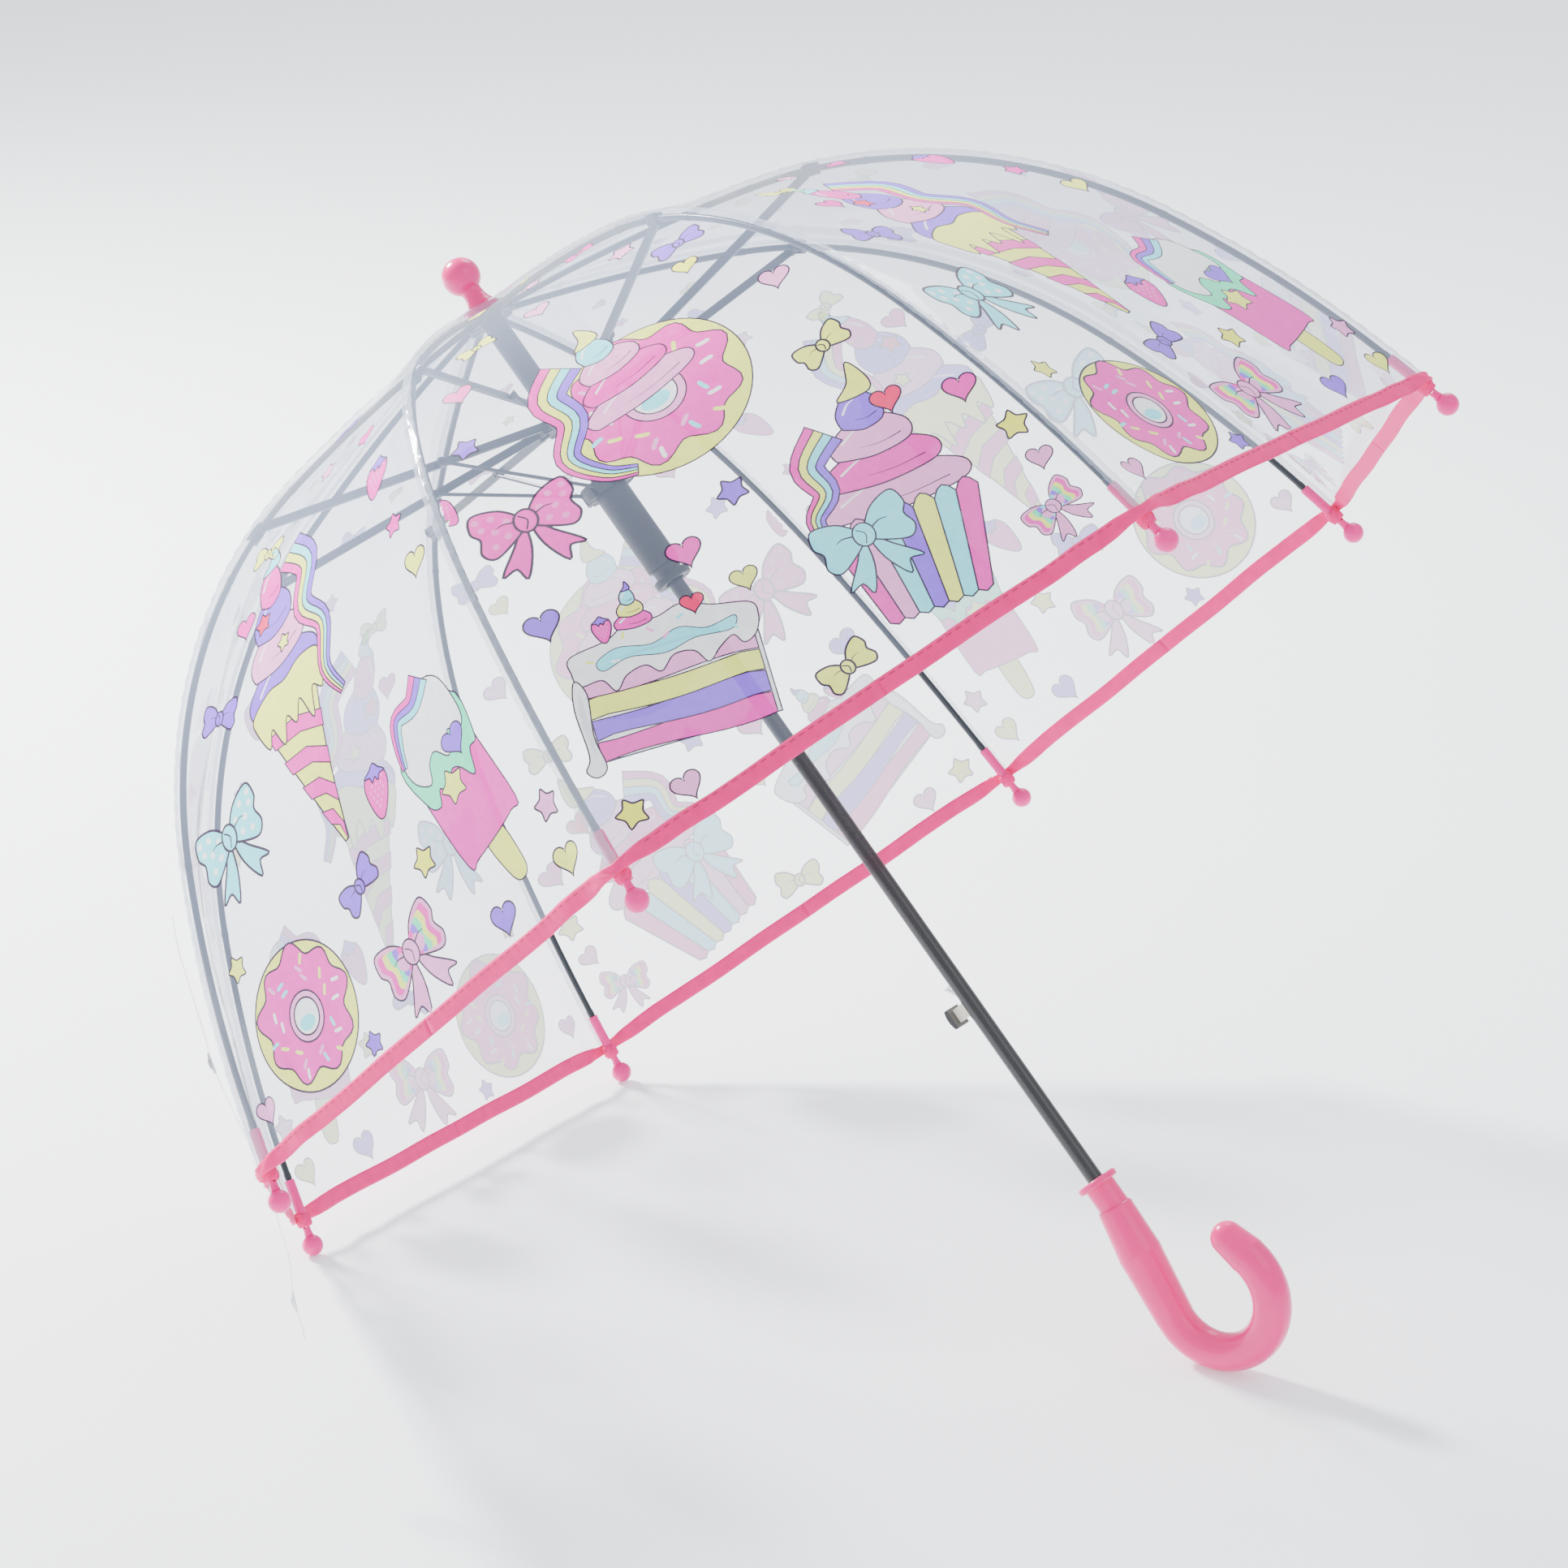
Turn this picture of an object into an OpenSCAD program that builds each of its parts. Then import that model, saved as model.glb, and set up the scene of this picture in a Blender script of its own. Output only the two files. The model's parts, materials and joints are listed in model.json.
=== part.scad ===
// Children's dome umbrella with a clear canopy, eight jointed ribs and a crook handle.
// Drawn open and upright: the shaft runs along +Z through the origin, which is the middle
// of the grip. The crook opens towards +X and the release button faces -X.

/* [Canopy and ribs] */
// Radius of the ring through the centres of the rib tip balls
canopy_radius = 345; // [280:1:420]
// Height of that ring above the middle of the grip
tip_ring_height = 235; // [200:1:300]
// Diameter of a rib rod
rib_diameter = 3.2; // [2.4:0.1:4.2]
// Thickness of the clear canopy as a solid
film_thickness = 0.6; // [0.4:0.1:1.2]
// Diameter of a rib tip ball
tip_ball_diameter = 10.5; // [8:0.5:11]
// Length of a rib tip from the ball centre to the mouth of its sleeve
tip_length = 34; // [26:1:44]

/* [Shaft and sliders] */
// Outside diameter of the shaft tube
shaft_diameter = 8; // [6.5:0.1:9.4]
// Wall of the shaft tube
shaft_wall = 0.8; // [0.6:0.05:1.2]
// Gap all round between the shaft and the pieces that slide on it
running_gap = 0.06; // [0.03:0.01:0.1]
// Height of the crown pivots above the upper ring pivots
ring_drop = 61.4; // [54:0.2:74]
// Height of the upper ring pivots above the runner pivots
runner_drop = 38.7; // [36:0.1:46]
// Length of the runner below its pivots
runner_length = 57; // [50:0.5:70]
// Outside diameter of the runner tube
runner_diameter = 17; // [16:0.1:20]

/* [Stretchers and struts] */
// Height of a stretcher bar
stretcher_height = 4; // [3.2:0.1:4.8]
// Diameter of a strut wire
strut_diameter = 1.8; // [1.5:0.1:2.1]
// How far along the stretcher the strut takes hold, as a share of its length
strut_share = 0.385; // [0.3:0.005:0.46]

/* [Handle] */
// Largest diameter of the grip
grip_diameter = 21.5; // [19:0.5:26]
// Diameter of the crook tube
crook_diameter = 18.4; // [15:0.1:20]
// Radius of the crook's centre line
crook_radius = 28; // [24:0.5:36]
// Lean of the grip away from the shaft line, in degrees
grip_lean = 8; // [4:0.5:12]

/* [Release button] */
// Width of the button cap
button_width = 9.5; // [7:0.5:11]
// How far the button is pressed in
button_travel = 3.5; // [2.5:0.1:4]

/* [Tie strap] */
// Width of the clear strap
strap_width = 12; // [9:0.5:16]
// Diameter of a press stud
stud_diameter = 10.5; // [8:0.5:11.5]

/* [Hidden] */
$fn = 48;

count = 8;
half = 180 / count;
steel = [0.10, 0.12, 0.15];
dark = [0.06, 0.07, 0.08];
pink = [1.0, 0.22, 0.50];
bright = [0.78, 0.79, 0.80];
cream = [0.93, 0.91, 0.84];
clear = [0.86, 0.93, 0.98, 0.35];

// where rib 1 stands round the shaft, seen from above
function rib_angle(k) = -157.5 + (k - 1) * 360 / count;

// pivots: distance from the shaft line, and sideways from the rib's own plane
crown_pivot_r = 10;
ring_pivot_r = 10.5;
runner_pivot_r = 9.3;
stretcher_y = 4.1;
stretcher_t = 2;
strut_y = 6.9;
eye_d = 5;
pin_d = 1.6;
bore_d = 1.7;
eye_t = 1.8;

// the rib's curve, from the crown pivot outwards: each bend is a length and a turn in degrees,
// for a canopy of the standard radius, and the last stretch is straight
first_heading = 8.6;
bends = [[132.5, 8.52], [28.8, 7.24], [28.8, 7.24], [145, 31.56], [124, 11.55]];
elbow_at = 2;
end_heading = first_heading + sum_turn(len(bends));
function sum_turn(n) = n == 0 ? 0 : bends[n - 1][1] + sum_turn(n - 1);
function run(l, t, a) = l / (t * PI / 180) * (sin(a + t) - sin(a));
function fall(l, t, a) = l / (t * PI / 180) * (cos(a) - cos(a + t));
function head(n) = first_heading + sum_turn(n);
function unit_run(n) = n == 0 ? 0 : run(bends[n - 1][0], bends[n - 1][1], head(n - 1)) + unit_run(n - 1);
function unit_fall(n) = n == 0 ? 0 : fall(bends[n - 1][0], bends[n - 1][1], head(n - 1)) + unit_fall(n - 1);
scale_up = (canopy_radius - crown_pivot_r - tip_length * cos(end_heading)) / unit_run(len(bends));
crown_z = tip_ring_height + tip_length * sin(end_heading) + scale_up * unit_fall(len(bends));
// the start of bend n, as distance from the shaft line and height
function bend_start(n) = [crown_pivot_r + scale_up * unit_run(n), crown_z - scale_up * unit_fall(n)];
elbow = bend_start(elbow_at);
elbow_heading = head(elbow_at);
sleeve_start = bend_start(len(bends));

ring_z = crown_z - ring_drop;
runner_z = ring_z - runner_drop;
ring_pivot = [ring_pivot_r, ring_z];
stretcher_line = elbow - ring_pivot;
stretcher_length = norm(stretcher_line);
stretcher_tilt = atan2(stretcher_line[1], stretcher_line[0]);
hold = ring_pivot + strut_share * stretcher_line;
strut_line = hold - [runner_pivot_r, runner_z];
strut_length = norm(strut_line);
strut_tilt = atan2(strut_line[1], strut_line[0]);

shaft_r = shaft_diameter / 2;
slide_r = shaft_r + running_gap;
hub_r = shaft_r + 1.5;
hub_slide_r = hub_r + running_gap;
runner_r = runner_diameter / 2;
cavity_r = runner_r - 1.2;
runner_low = runner_z - runner_length;
cavity_low = runner_low + 11;
hub_low = runner_z - 12;
crown_half = 2.8;
ring_half = 3;
runner_half = 3.5;
crown_r = 13;
ring_r = 14;
rim_r = 13.7;
neck_low = crown_z - 47;
rib_r = rib_diameter / 2;
fork_r = 2.8;
film_offset = 3.4;
film_edge = 13;

collar_z = 37;
collar_t = 3.4;
handle_neck_r = 7.5;
grip_top_r = 8.7;
grip_top_z = 25;
grip_length = 25;
lower_grip_length = 33;
crook_r = crook_diameter / 2;
crook_end_r = crook_r - 1.1;
crook_end_length = 12;
crook_sweep = 197 + grip_lean;

button_z = 140.5;
catch_top = 154.3;
slot_low = button_z - 3.7;
slot_high = catch_top + 0.7;
strap_t = 0.5;

// turns a piece drawn for azimuth 0 to rib k
module at_rib(k) { rotate([0, 0, rib_angle(k)]) children(); }

// a bar along +X, turned down by the given angle, starting at p
module along(p, down) { translate([p[0], 0, p[1]]) rotate([0, down, 0]) children(); }

// a pin or boss across the rib's plane, from y0 to y1
module across(p, y0, y1, d) {
    translate([p[0], y0, p[1]]) rotate([-90, 0, 0]) cylinder(d=d, h=y1 - y0);
}

// part of bend n as a round rod, from share s0 to share s1 of its length
module bend_rod(n, s0, s1, d) {
    turn = bends[n][1];
    bend_r = scale_up * bends[n][0] / (turn * PI / 180);
    start = bend_start(n);
    a = head(n);
    translate([start[0] - bend_r * sin(a), 0, start[1] - bend_r * cos(a)])
        rotate([90, 0, 0]) rotate([0, 0, 90 - a - s1 * turn])
            rotate_extrude(angle=(s1 - s0) * turn) translate([bend_r, 0]) circle(d=d);
}
// a bead on the rod where two bends meet; each rod ends just short of the other inside it
bead_d = rib_diameter + 0.4;
bead_gap = 0.1;
module bead(p, a) { along(p, a) translate([-1.5, 0, 0]) rotate([0, 90, 0]) cylinder(d=bead_d, h=3); }
// the share of bend n that a length takes up
function share(n, l) = l / (scale_up * bends[n][0]);

// ---- shaft, crown and handle ----

module shaft_tube() {
    color(steel) difference() {
        translate([0, 0, 9]) cylinder(r=shaft_r, h=crown_z + 10 - 9);
        translate([0, 0, 8]) cylinder(r=shaft_r - shaft_wall, h=crown_z + 20);
        translate([-shaft_r - 2, -1.6, slot_low]) cube([shaft_r + 1, 3.2, slot_high - slot_low]);
    }
}

module crown_notch() {
    color(dark) difference() {
        union() {
            difference() {
                translate([0, 0, crown_z - crown_half]) cylinder(r=crown_r, h=2 * crown_half);
                for (k = [1:count]) at_rib(k)
                    translate([crown_pivot_r - 3, -1.15, crown_z - 5]) cube([10, 2.3, 10]);
            }
            for (k = [1:count]) at_rib(k)
                across([crown_pivot_r, crown_z], -2, 2, pin_d);
            translate([0, 0, neck_low]) cylinder(d=11.5, h=crown_z - neck_low);
        }
        translate([0, 0, neck_low - 1]) cylinder(r=shaft_r, h=60);
    }
}

module finial() {
    base = crown_z + film_offset + film_thickness + 0.15;
    color(pink) difference() {
        union() {
            translate([0, 0, crown_z + 24.3]) sphere(r=9.5);
            rotate_extrude() polygon([
                [0, base], [8.3, base], [8.8, base + 0.6], [8.8, base + 1.6], [7.2, base + 3],
                [6, base + 5.2], [5.2, base + 8], [5, base + 10.5], [5.2, base + 13], [0, base + 14]]);
        }
        translate([0, 0, base - 1]) cylinder(r=shaft_r, h=crown_z + 10 - base + 1);
    }
}

module handle_collar() {
    color(pink) difference() {
        rotate_extrude() polygon([
            [0, collar_z], [9.7, collar_z], [10.3, collar_z + 0.6],
            [10.3, collar_z + collar_t - 0.6], [9.7, collar_z + collar_t], [0, collar_z + collar_t]]);
        translate([0, 0, collar_z - 1]) cylinder(r=shaft_r, h=collar_t + 2);
    }
}

module handle_crook() {
    low = [-(grip_length + lower_grip_length) * sin(grip_lean),
           grip_top_z - (grip_length + lower_grip_length) * cos(grip_lean)];
    centre = [low[0] + crook_radius * cos(grip_lean), low[1] - crook_radius * sin(grip_lean)];
    end_turn = crook_sweep + 180 - grip_lean;
    tip = [centre[0] + crook_radius * cos(end_turn), centre[1] + crook_radius * sin(end_turn)];
    gr = grip_diameter / 2;
    color(pink) difference() {
        union() {
            translate([0, 0, grip_top_z - 2]) cylinder(r=handle_neck_r, h=collar_z - grip_top_z + 2);
            translate([0, 0, grip_top_z]) rotate([0, grip_lean, 0])
                rotate_extrude() polygon([
                    [0, 0.6], [grip_top_r - 1, 0.6], [grip_top_r - 0.2, -0.2], [grip_top_r, -1],
                    [gr - 0.9, -grip_length * 0.6], [gr, -grip_length],
                    [gr - 0.3, -grip_length - 5], [crook_r + 0.2, -grip_length - lower_grip_length],
                    [crook_r + 0.2, -grip_length - lower_grip_length - 0.8],
                    [0, -grip_length - lower_grip_length - 0.8]]);
            translate([centre[0], 0, centre[1]]) rotate([90, 0, 0]) rotate([0, 0, 180 - grip_lean])
                rotate_extrude(angle=crook_sweep) translate([crook_radius, 0]) circle(r=crook_r);
            translate([tip[0], 0, tip[1]]) rotate([0, -end_turn, 0]) rotate_extrude() intersection() {
                union() {
                    polygon([[0, -0.8], [crook_r + 0.2, -0.8], [crook_r + 0.2, 0],
                             [crook_end_r + 0.03, crook_end_length], [0, crook_end_length]]);
                    translate([0, crook_end_length]) circle(r=crook_end_r);
                }
                translate([0, -1]) square([30, crook_end_length + 30]);
            }
        }
        translate([0, 0, 9]) cylinder(r=shaft_r, h=60);
    }
}

// ---- sliding pieces ----

module upper_ring() {
    color(dark) difference() {
        union() {
            difference() {
                translate([0, 0, ring_z - ring_half]) cylinder(r=ring_r, h=2 * ring_half);
                for (k = [1:count]) at_rib(k)
                    translate([ring_pivot_r - 3.1, stretcher_y - 1.25, ring_z - 5]) cube([12, 5.4, 10]);
            }
            for (k = [1:count]) at_rib(k)
                across(ring_pivot, stretcher_y - 2.4, stretcher_y + 1.2, pin_d);
            translate([0, 0, hub_low]) cylinder(r=hub_r, h=ring_z - hub_low);
            translate([0, 0, ring_z]) cylinder(r=hub_r + 1, h=neck_low - 0.3 - ring_z);
        }
        translate([0, 0, hub_low - 1]) cylinder(r=slide_r, h=100);
    }
}

module runner_tube() {
    color(dark) difference() {
        union() {
            difference() {
                translate([0, 0, runner_z - runner_half]) cylinder(r=rim_r, h=2 * runner_half);
                for (k = [1:count]) at_rib(k)
                    translate([runner_pivot_r - 2.3, strut_y - 1, runner_z - 6]) cube([12, 2, 12]);
            }
            for (k = [1:count]) at_rib(k)
                across([runner_pivot_r, runner_z], strut_y - 1.8, strut_y + 1.6, 1.4);
            rotate_extrude() polygon([
                [0, runner_low + 0.5], [9, runner_low], [9.5, runner_low + 0.5], [9.5, runner_low + 3.5],
                [9, runner_low + 4], [6.9, runner_low + 4.4], [6.9, runner_low + 8.6],
                [runner_r - 0.4, runner_low + 9], [runner_r, runner_low + 9.6],
                [runner_r, runner_z - runner_half], [0, runner_z - runner_half]]);
            translate([0, 0, runner_z - runner_half - 2]) cylinder(r=runner_r, h=2 * runner_half + 1);
        }
        translate([0, 0, runner_low - 1]) cylinder(r=shaft_r + 1.2, h=20);
        translate([0, 0, cavity_low]) cylinder(r=cavity_r, h=runner_z - runner_half - 2 - cavity_low);
        translate([0, 0, cavity_low]) cylinder(r=hub_slide_r, h=100);
    }
}

// a coil of round-ish wire, swept as rings of points
spring_turns = 8;
spring_steps = 14;
spring_r = (shaft_r + 0.9 + cavity_r) / 2;
wire_r = 0.45;
wire_sides = 6;
spring_low = cavity_low + wire_r + 0.05;
spring_high = hub_low - wire_r - 0.05;
spring_rings = spring_turns * spring_steps;
function coil_point(i, j) =
    let (a = 360 * i / spring_steps, b = 360 * j / wire_sides, q = spring_r + wire_r * cos(b))
    [q * cos(a), q * sin(a), spring_low + (spring_high - spring_low) * i / spring_rings + wire_r * sin(b)];

module drive_spring() {
    n = wire_sides;
    color(bright) polyhedron(
        points=[for (i = [0:spring_rings], j = [0:n - 1]) coil_point(i, j)],
        faces=concat(
            [[for (j = [0:n - 1]) j]],
            [[for (j = [0:n - 1]) spring_rings * n + n - 1 - j]],
            [for (i = [0:spring_rings - 1], j = [0:n - 1])
                [i * n + j, (i + 1) * n + j, (i + 1) * n + (j + 1) % n, i * n + (j + 1) % n]]));
}

// ---- release button ----

module catch_spring() {
    back = -shaft_r + shaft_wall + 0.8;
    color(bright) {
        difference() {
            rotate([90, 0, 0]) translate([0, 0, -0.8]) linear_extrude(1.6) polygon([
                [back + 0.6, button_z - 13], [back + 0.6, catch_top + 2], [back, catch_top + 2],
                [back, catch_top], [-shaft_r - 4.2, catch_top], [-shaft_r - 4.2, catch_top - 0.8],
                [back, button_z + 4.3], [back, button_z - 13]]);
            rotate([90, 0, 0]) translate([0, 0, -2]) linear_extrude(4) polygon([
                [-shaft_r - 2.6, catch_top - 1], [back - 1.2, catch_top - 1],
                [back - 1.2, catch_top - 5.5]]);
        }
    }
}

module push_button() {
    back = -shaft_r + shaft_wall + 0.8;
    color(dark) {
        translate([-shaft_r - 7, -1.5, button_z - 3.5]) cube([shaft_r + 7 + back, 3, 7]);
        translate([-shaft_r - 7, 0, button_z]) rotate([0, -90, 0]) {
            intersection() {
                translate([-5, -button_width / 2, 0]) cube([10, button_width, 4]);
                translate([0, 0, -9]) sphere(r=13);
            }
        }
    }
}

// ---- one rib, numbered k, drawn in its own plane ----

module eyelet(p) {
    difference() {
        union() {
            across(p, -eye_t / 2, eye_t / 2, eye_d);
            children();
        }
        across(p, -3, 3, bore_d);
    }
}

module rib_upper(k) {
    color(steel) at_rib(k) {
        eyelet([crown_pivot_r, crown_z]) along([crown_pivot_r, crown_z], first_heading)
            translate([0, -eye_t / 2, -1.4]) cube([6, eye_t, 2.8]);
        bend_rod(0, share(0, 5), 1 - share(0, bead_gap), rib_diameter);
        bead(bend_start(1), head(1));
        bend_rod(1, share(1, bead_gap), 1 - share(1, 4.5), rib_diameter);
        eyelet(elbow) along(elbow, elbow_heading)
            translate([-5.5, -eye_t / 2, -1.4]) cube([5.5, eye_t, 2.8]);
    }
}

module rib_lower(k) {
    color(steel) at_rib(k) {
        for (s = [-1, 1]) {
            across(elbow, s > 0 ? 1.05 : -2, s > 0 ? 2 : -1.05, 2 * fork_r);
            along(elbow, elbow_heading)
                translate([0, s > 0 ? 1.05 : -2, -fork_r]) cube([6, 0.95, 2 * fork_r]);
        }
        along(elbow, elbow_heading) translate([3.4, -1.5, -fork_r]) cube([2.6, 3, 2 * fork_r]);
        across(elbow, -1.8, 1.8, pin_d);
        across(elbow, 1.9, stretcher_y - stretcher_t / 2 - 0.2, 3.6);
        bend_rod(2, share(2, 5), 1 - share(2, bead_gap), rib_diameter);
        bead(bend_start(3), head(3));
        bend_rod(3, share(3, bead_gap), 1 - share(3, bead_gap), rib_diameter);
        bead(bend_start(4), head(4));
        bend_rod(4, share(4, bead_gap), 1 - share(4, 2 + bead_gap), rib_diameter);
        along(sleeve_start, end_heading) rotate([0, 90, 0]) {
            translate([0, 0, -2]) cylinder(d=rib_diameter, h=20);
            translate([0, 0, -3.6]) cylinder(d=bead_d, h=3);
        }
    }
}

module rib_tip(k) {
    ball_r = tip_ball_diameter / 2;
    color(pink) at_rib(k) along(sleeve_start, end_heading) rotate([0, 90, 0]) difference() {
        union() {
            translate([0, 0, tip_length]) sphere(r=ball_r);
            rotate_extrude() polygon([
                [0, 0], [rib_r + 0.8, 0], [rib_r + 0.9, 0.3], [rib_r + 0.9, tip_length - 14],
                [rib_r + 0.3, tip_length - 12.5], [rib_r + 0.3, tip_length - 7],
                [rib_r + 0.7, tip_length - 5], [0, tip_length - 4]]);
        }
        translate([0, 0, -1]) cylinder(d=rib_diameter, h=19);
        translate([0, 5, tip_length - 9.6]) rotate([90, 0, 0]) cylinder(d=1.8, h=10);
    }
}

module stretcher(k) {
    color(steel) at_rib(k) difference() {
        union() {
            across(ring_pivot, stretcher_y - stretcher_t / 2, stretcher_y + stretcher_t / 2, eye_d);
            across(elbow, stretcher_y - stretcher_t / 2, stretcher_y + stretcher_t / 2, eye_d);
            along(ring_pivot, -stretcher_tilt)
                translate([0, stretcher_y - stretcher_t / 2 + 0.1, -stretcher_height / 2])
                    cube([stretcher_length, stretcher_t - 0.2, stretcher_height]);
            across(hold, stretcher_y, strut_y - 1, 3);
        }
        across(ring_pivot, 0, 8, bore_d);
        across(elbow, 0, 8, 2.4);
    }
}

module strut(k) {
    foot = [runner_pivot_r, runner_z];
    color(bright) at_rib(k) difference() {
        union() {
            across(foot, strut_y - 0.8, strut_y + 0.8, 4);
            along(foot, -strut_tilt) translate([1, strut_y, 0]) rotate([0, 90, 0])
                cylinder(d=strut_diameter, h=strut_length - 2);
            across(hold, strut_y - 0.8, strut_y + 0.8, 4.4);
        }
        across(foot, 0, 12, 1.5);
        across(hold, 0, 12, 1.8);
    }
}

// ---- canopy: one eighth of the dome round each rib ----

bend_steps = [6, 2, 2, 9, 5];
function arc_point(n, s) =
    let (t = bends[n][1], a = head(n), p = bend_start(n), d = bends[n][0] * s)
    [p[0] + scale_up * run(d, t * s, a), p[1] - scale_up * fall(d, t * s, a), a + t * s];
film_path = concat(
    [[shaft_r + 0.7, crown_z + film_offset - 0.01, 0], [crown_pivot_r + 2, crown_z + film_offset - 0.02, 0]],
    [for (n = [0:len(bends) - 1], i = [1:bend_steps[n]]) arc_point(n, i / bend_steps[n])],
    [[sleeve_start[0] + (tip_length - film_edge) * cos(end_heading),
      sleeve_start[1] - (tip_length - film_edge) * sin(end_heading), end_heading]]);
// the film's skin in the rib's plane, off = 0 for the inside and film_thickness for the outside
function skin(i, off) =
    let (p = film_path[i], o = i < 2 ? off : film_offset + off)
    [p[0] + o * sin(p[2]), p[1] + o * cos(p[2])];
// the same, where the film runs straight across to half way between two ribs
function skin_side(i, off, s) =
    let (q = skin(i, off), y = q[0] * sin(half) * cos(half) - 0.15)
    s == 0 ? [q[0], 0, q[1]] : [q[0] - y * tan(half), s * y, q[1]];

module canopy(k) {
    n = len(film_path);
    inner = [for (s = [-1:1], i = [0:n - 1]) skin_side(i, 0, s)];
    outer = [for (s = [-1:1], i = [0:n - 1]) skin_side(i, film_thickness, s)];
    o = 3 * n;
    color(clear) at_rib(k) polyhedron(
        points=concat(inner, outer),
        faces=concat(
            [for (c = [0:1], i = [0:n - 2]) each [
                [c * n + i, c * n + i + 1, (c + 1) * n + i + 1],
                [c * n + i, (c + 1) * n + i + 1, (c + 1) * n + i]]],
            [for (c = [0:1], i = [0:n - 2]) each [
                [o + c * n + i, o + (c + 1) * n + i + 1, o + c * n + i + 1],
                [o + c * n + i, o + (c + 1) * n + i, o + (c + 1) * n + i + 1]]],
            [for (i = [0:n - 2]) each [[i, o + i + 1, i + 1], [i, o + i, o + i + 1]]],
            [for (i = [0:n - 2]) each [
                [2 * n + i, 2 * n + i + 1, o + 2 * n + i + 1],
                [2 * n + i, o + 2 * n + i + 1, o + 2 * n + i]]],
            [for (c = [0:1]) each [
                [c * n, (c + 1) * n, o + (c + 1) * n], [c * n, o + (c + 1) * n, o + c * n]]],
            [for (c = [0:1]) each [
                [c * n + n - 1, o + (c + 1) * n + n - 1, (c + 1) * n + n - 1],
                [c * n + n - 1, o + c * n + n - 1, o + (c + 1) * n + n - 1]]]));
}

// ---- tie strap, fixed at the hem between ribs 1 and 2 ----

strap_azimuth = rib_angle(1) + half;
strap_side = canopy_radius * sin(half) - 48;
film_rows = len(film_path);
hem_r = skin(film_rows - 1, film_thickness)[0] * cos(half);
hem_z = skin(film_rows - 1, film_thickness)[1];
// the film's distance from the shaft line, half way between two ribs, against height
film_table = [for (i = [film_rows - 1:-1:2])
    [skin(i, film_thickness)[1], skin(i, film_thickness)[0] * cos(half)]];
// the strap lies over the film above the hem, as gap and height, and hangs free below it
strap_over = [[9, 126], [8.5, 104], [6.6, 70], [5.2, 50], [2.6, 24], [0.3, 7], [0.3, 0]];
strap_hang = [[0.5, -3], [9, -28], [15.5, -42.5], [21, -56.5], [25, -66]];
strap_path = concat(
    [for (q = strap_over) [lookup(hem_z + q[1], film_table) + q[0], hem_z + q[1]]],
    [for (q = strap_hang) [hem_r + q[0], hem_z + q[1]]]);
// each stud sits in the middle of the straight length that starts at this point
studs = [2, 9];
function strap_at(i, off) = [strap_path[i][0] + off, strap_path[i][1]];

module in_gore() {
    rotate([0, 0, strap_azimuth]) translate([0, strap_side, 0]) children();
}

module tie_strap() {
    n = len(strap_path);
    inner = [for (i = [0:n - 1]) strap_at(i, 0)];
    outer = [for (i = [0:n - 1]) strap_at(n - 1 - i, strap_t)];
    color(clear) in_gore() translate([0, strap_width / 2, 0]) rotate([90, 0, 0])
        linear_extrude(strap_width) polygon(concat(inner, outer));
}

module press_studs() {
    for (i = studs) {
        top = strap_at(i, strap_t);
        low = strap_at(i + 1, strap_t);
        p = (top + low) / 2;
        lean = atan2(low[0] - top[0], top[1] - low[1]);
        color(bright) in_gore() translate([p[0], 0, p[1]]) rotate([0, 90 - lean, 0])
            translate([0, 0, 0.05]) rotate_extrude() polygon([
                [0, 0], [stud_diameter / 2 - 0.4, 0], [stud_diameter / 2, 0.4],
                [stud_diameter / 2 - 0.5, 1.1],
                [2.6, 1.3], [2.2, 1.9], [0, 2.1]]);
    }
}

module rib_upper_1() { rib_upper(1); }
module rib_upper_2() { rib_upper(2); }
module rib_upper_3() { rib_upper(3); }
module rib_upper_4() { rib_upper(4); }
module rib_upper_5() { rib_upper(5); }
module rib_upper_6() { rib_upper(6); }
module rib_upper_7() { rib_upper(7); }
module rib_upper_8() { rib_upper(8); }

module rib_lower_1() { rib_lower(1); }
module rib_lower_2() { rib_lower(2); }
module rib_lower_3() { rib_lower(3); }
module rib_lower_4() { rib_lower(4); }
module rib_lower_5() { rib_lower(5); }
module rib_lower_6() { rib_lower(6); }
module rib_lower_7() { rib_lower(7); }
module rib_lower_8() { rib_lower(8); }

module rib_tip_1() { rib_tip(1); }
module rib_tip_2() { rib_tip(2); }
module rib_tip_3() { rib_tip(3); }
module rib_tip_4() { rib_tip(4); }
module rib_tip_5() { rib_tip(5); }
module rib_tip_6() { rib_tip(6); }
module rib_tip_7() { rib_tip(7); }
module rib_tip_8() { rib_tip(8); }

module stretcher_1() { stretcher(1); }
module stretcher_2() { stretcher(2); }
module stretcher_3() { stretcher(3); }
module stretcher_4() { stretcher(4); }
module stretcher_5() { stretcher(5); }
module stretcher_6() { stretcher(6); }
module stretcher_7() { stretcher(7); }
module stretcher_8() { stretcher(8); }

module strut_1() { strut(1); }
module strut_2() { strut(2); }
module strut_3() { strut(3); }
module strut_4() { strut(4); }
module strut_5() { strut(5); }
module strut_6() { strut(6); }
module strut_7() { strut(7); }
module strut_8() { strut(8); }

module canopy_1() { canopy(1); }
module canopy_2() { canopy(2); }
module canopy_3() { canopy(3); }
module canopy_4() { canopy(4); }
module canopy_5() { canopy(5); }
module canopy_6() { canopy(6); }
module canopy_7() { canopy(7); }
module canopy_8() { canopy(8); }

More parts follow.
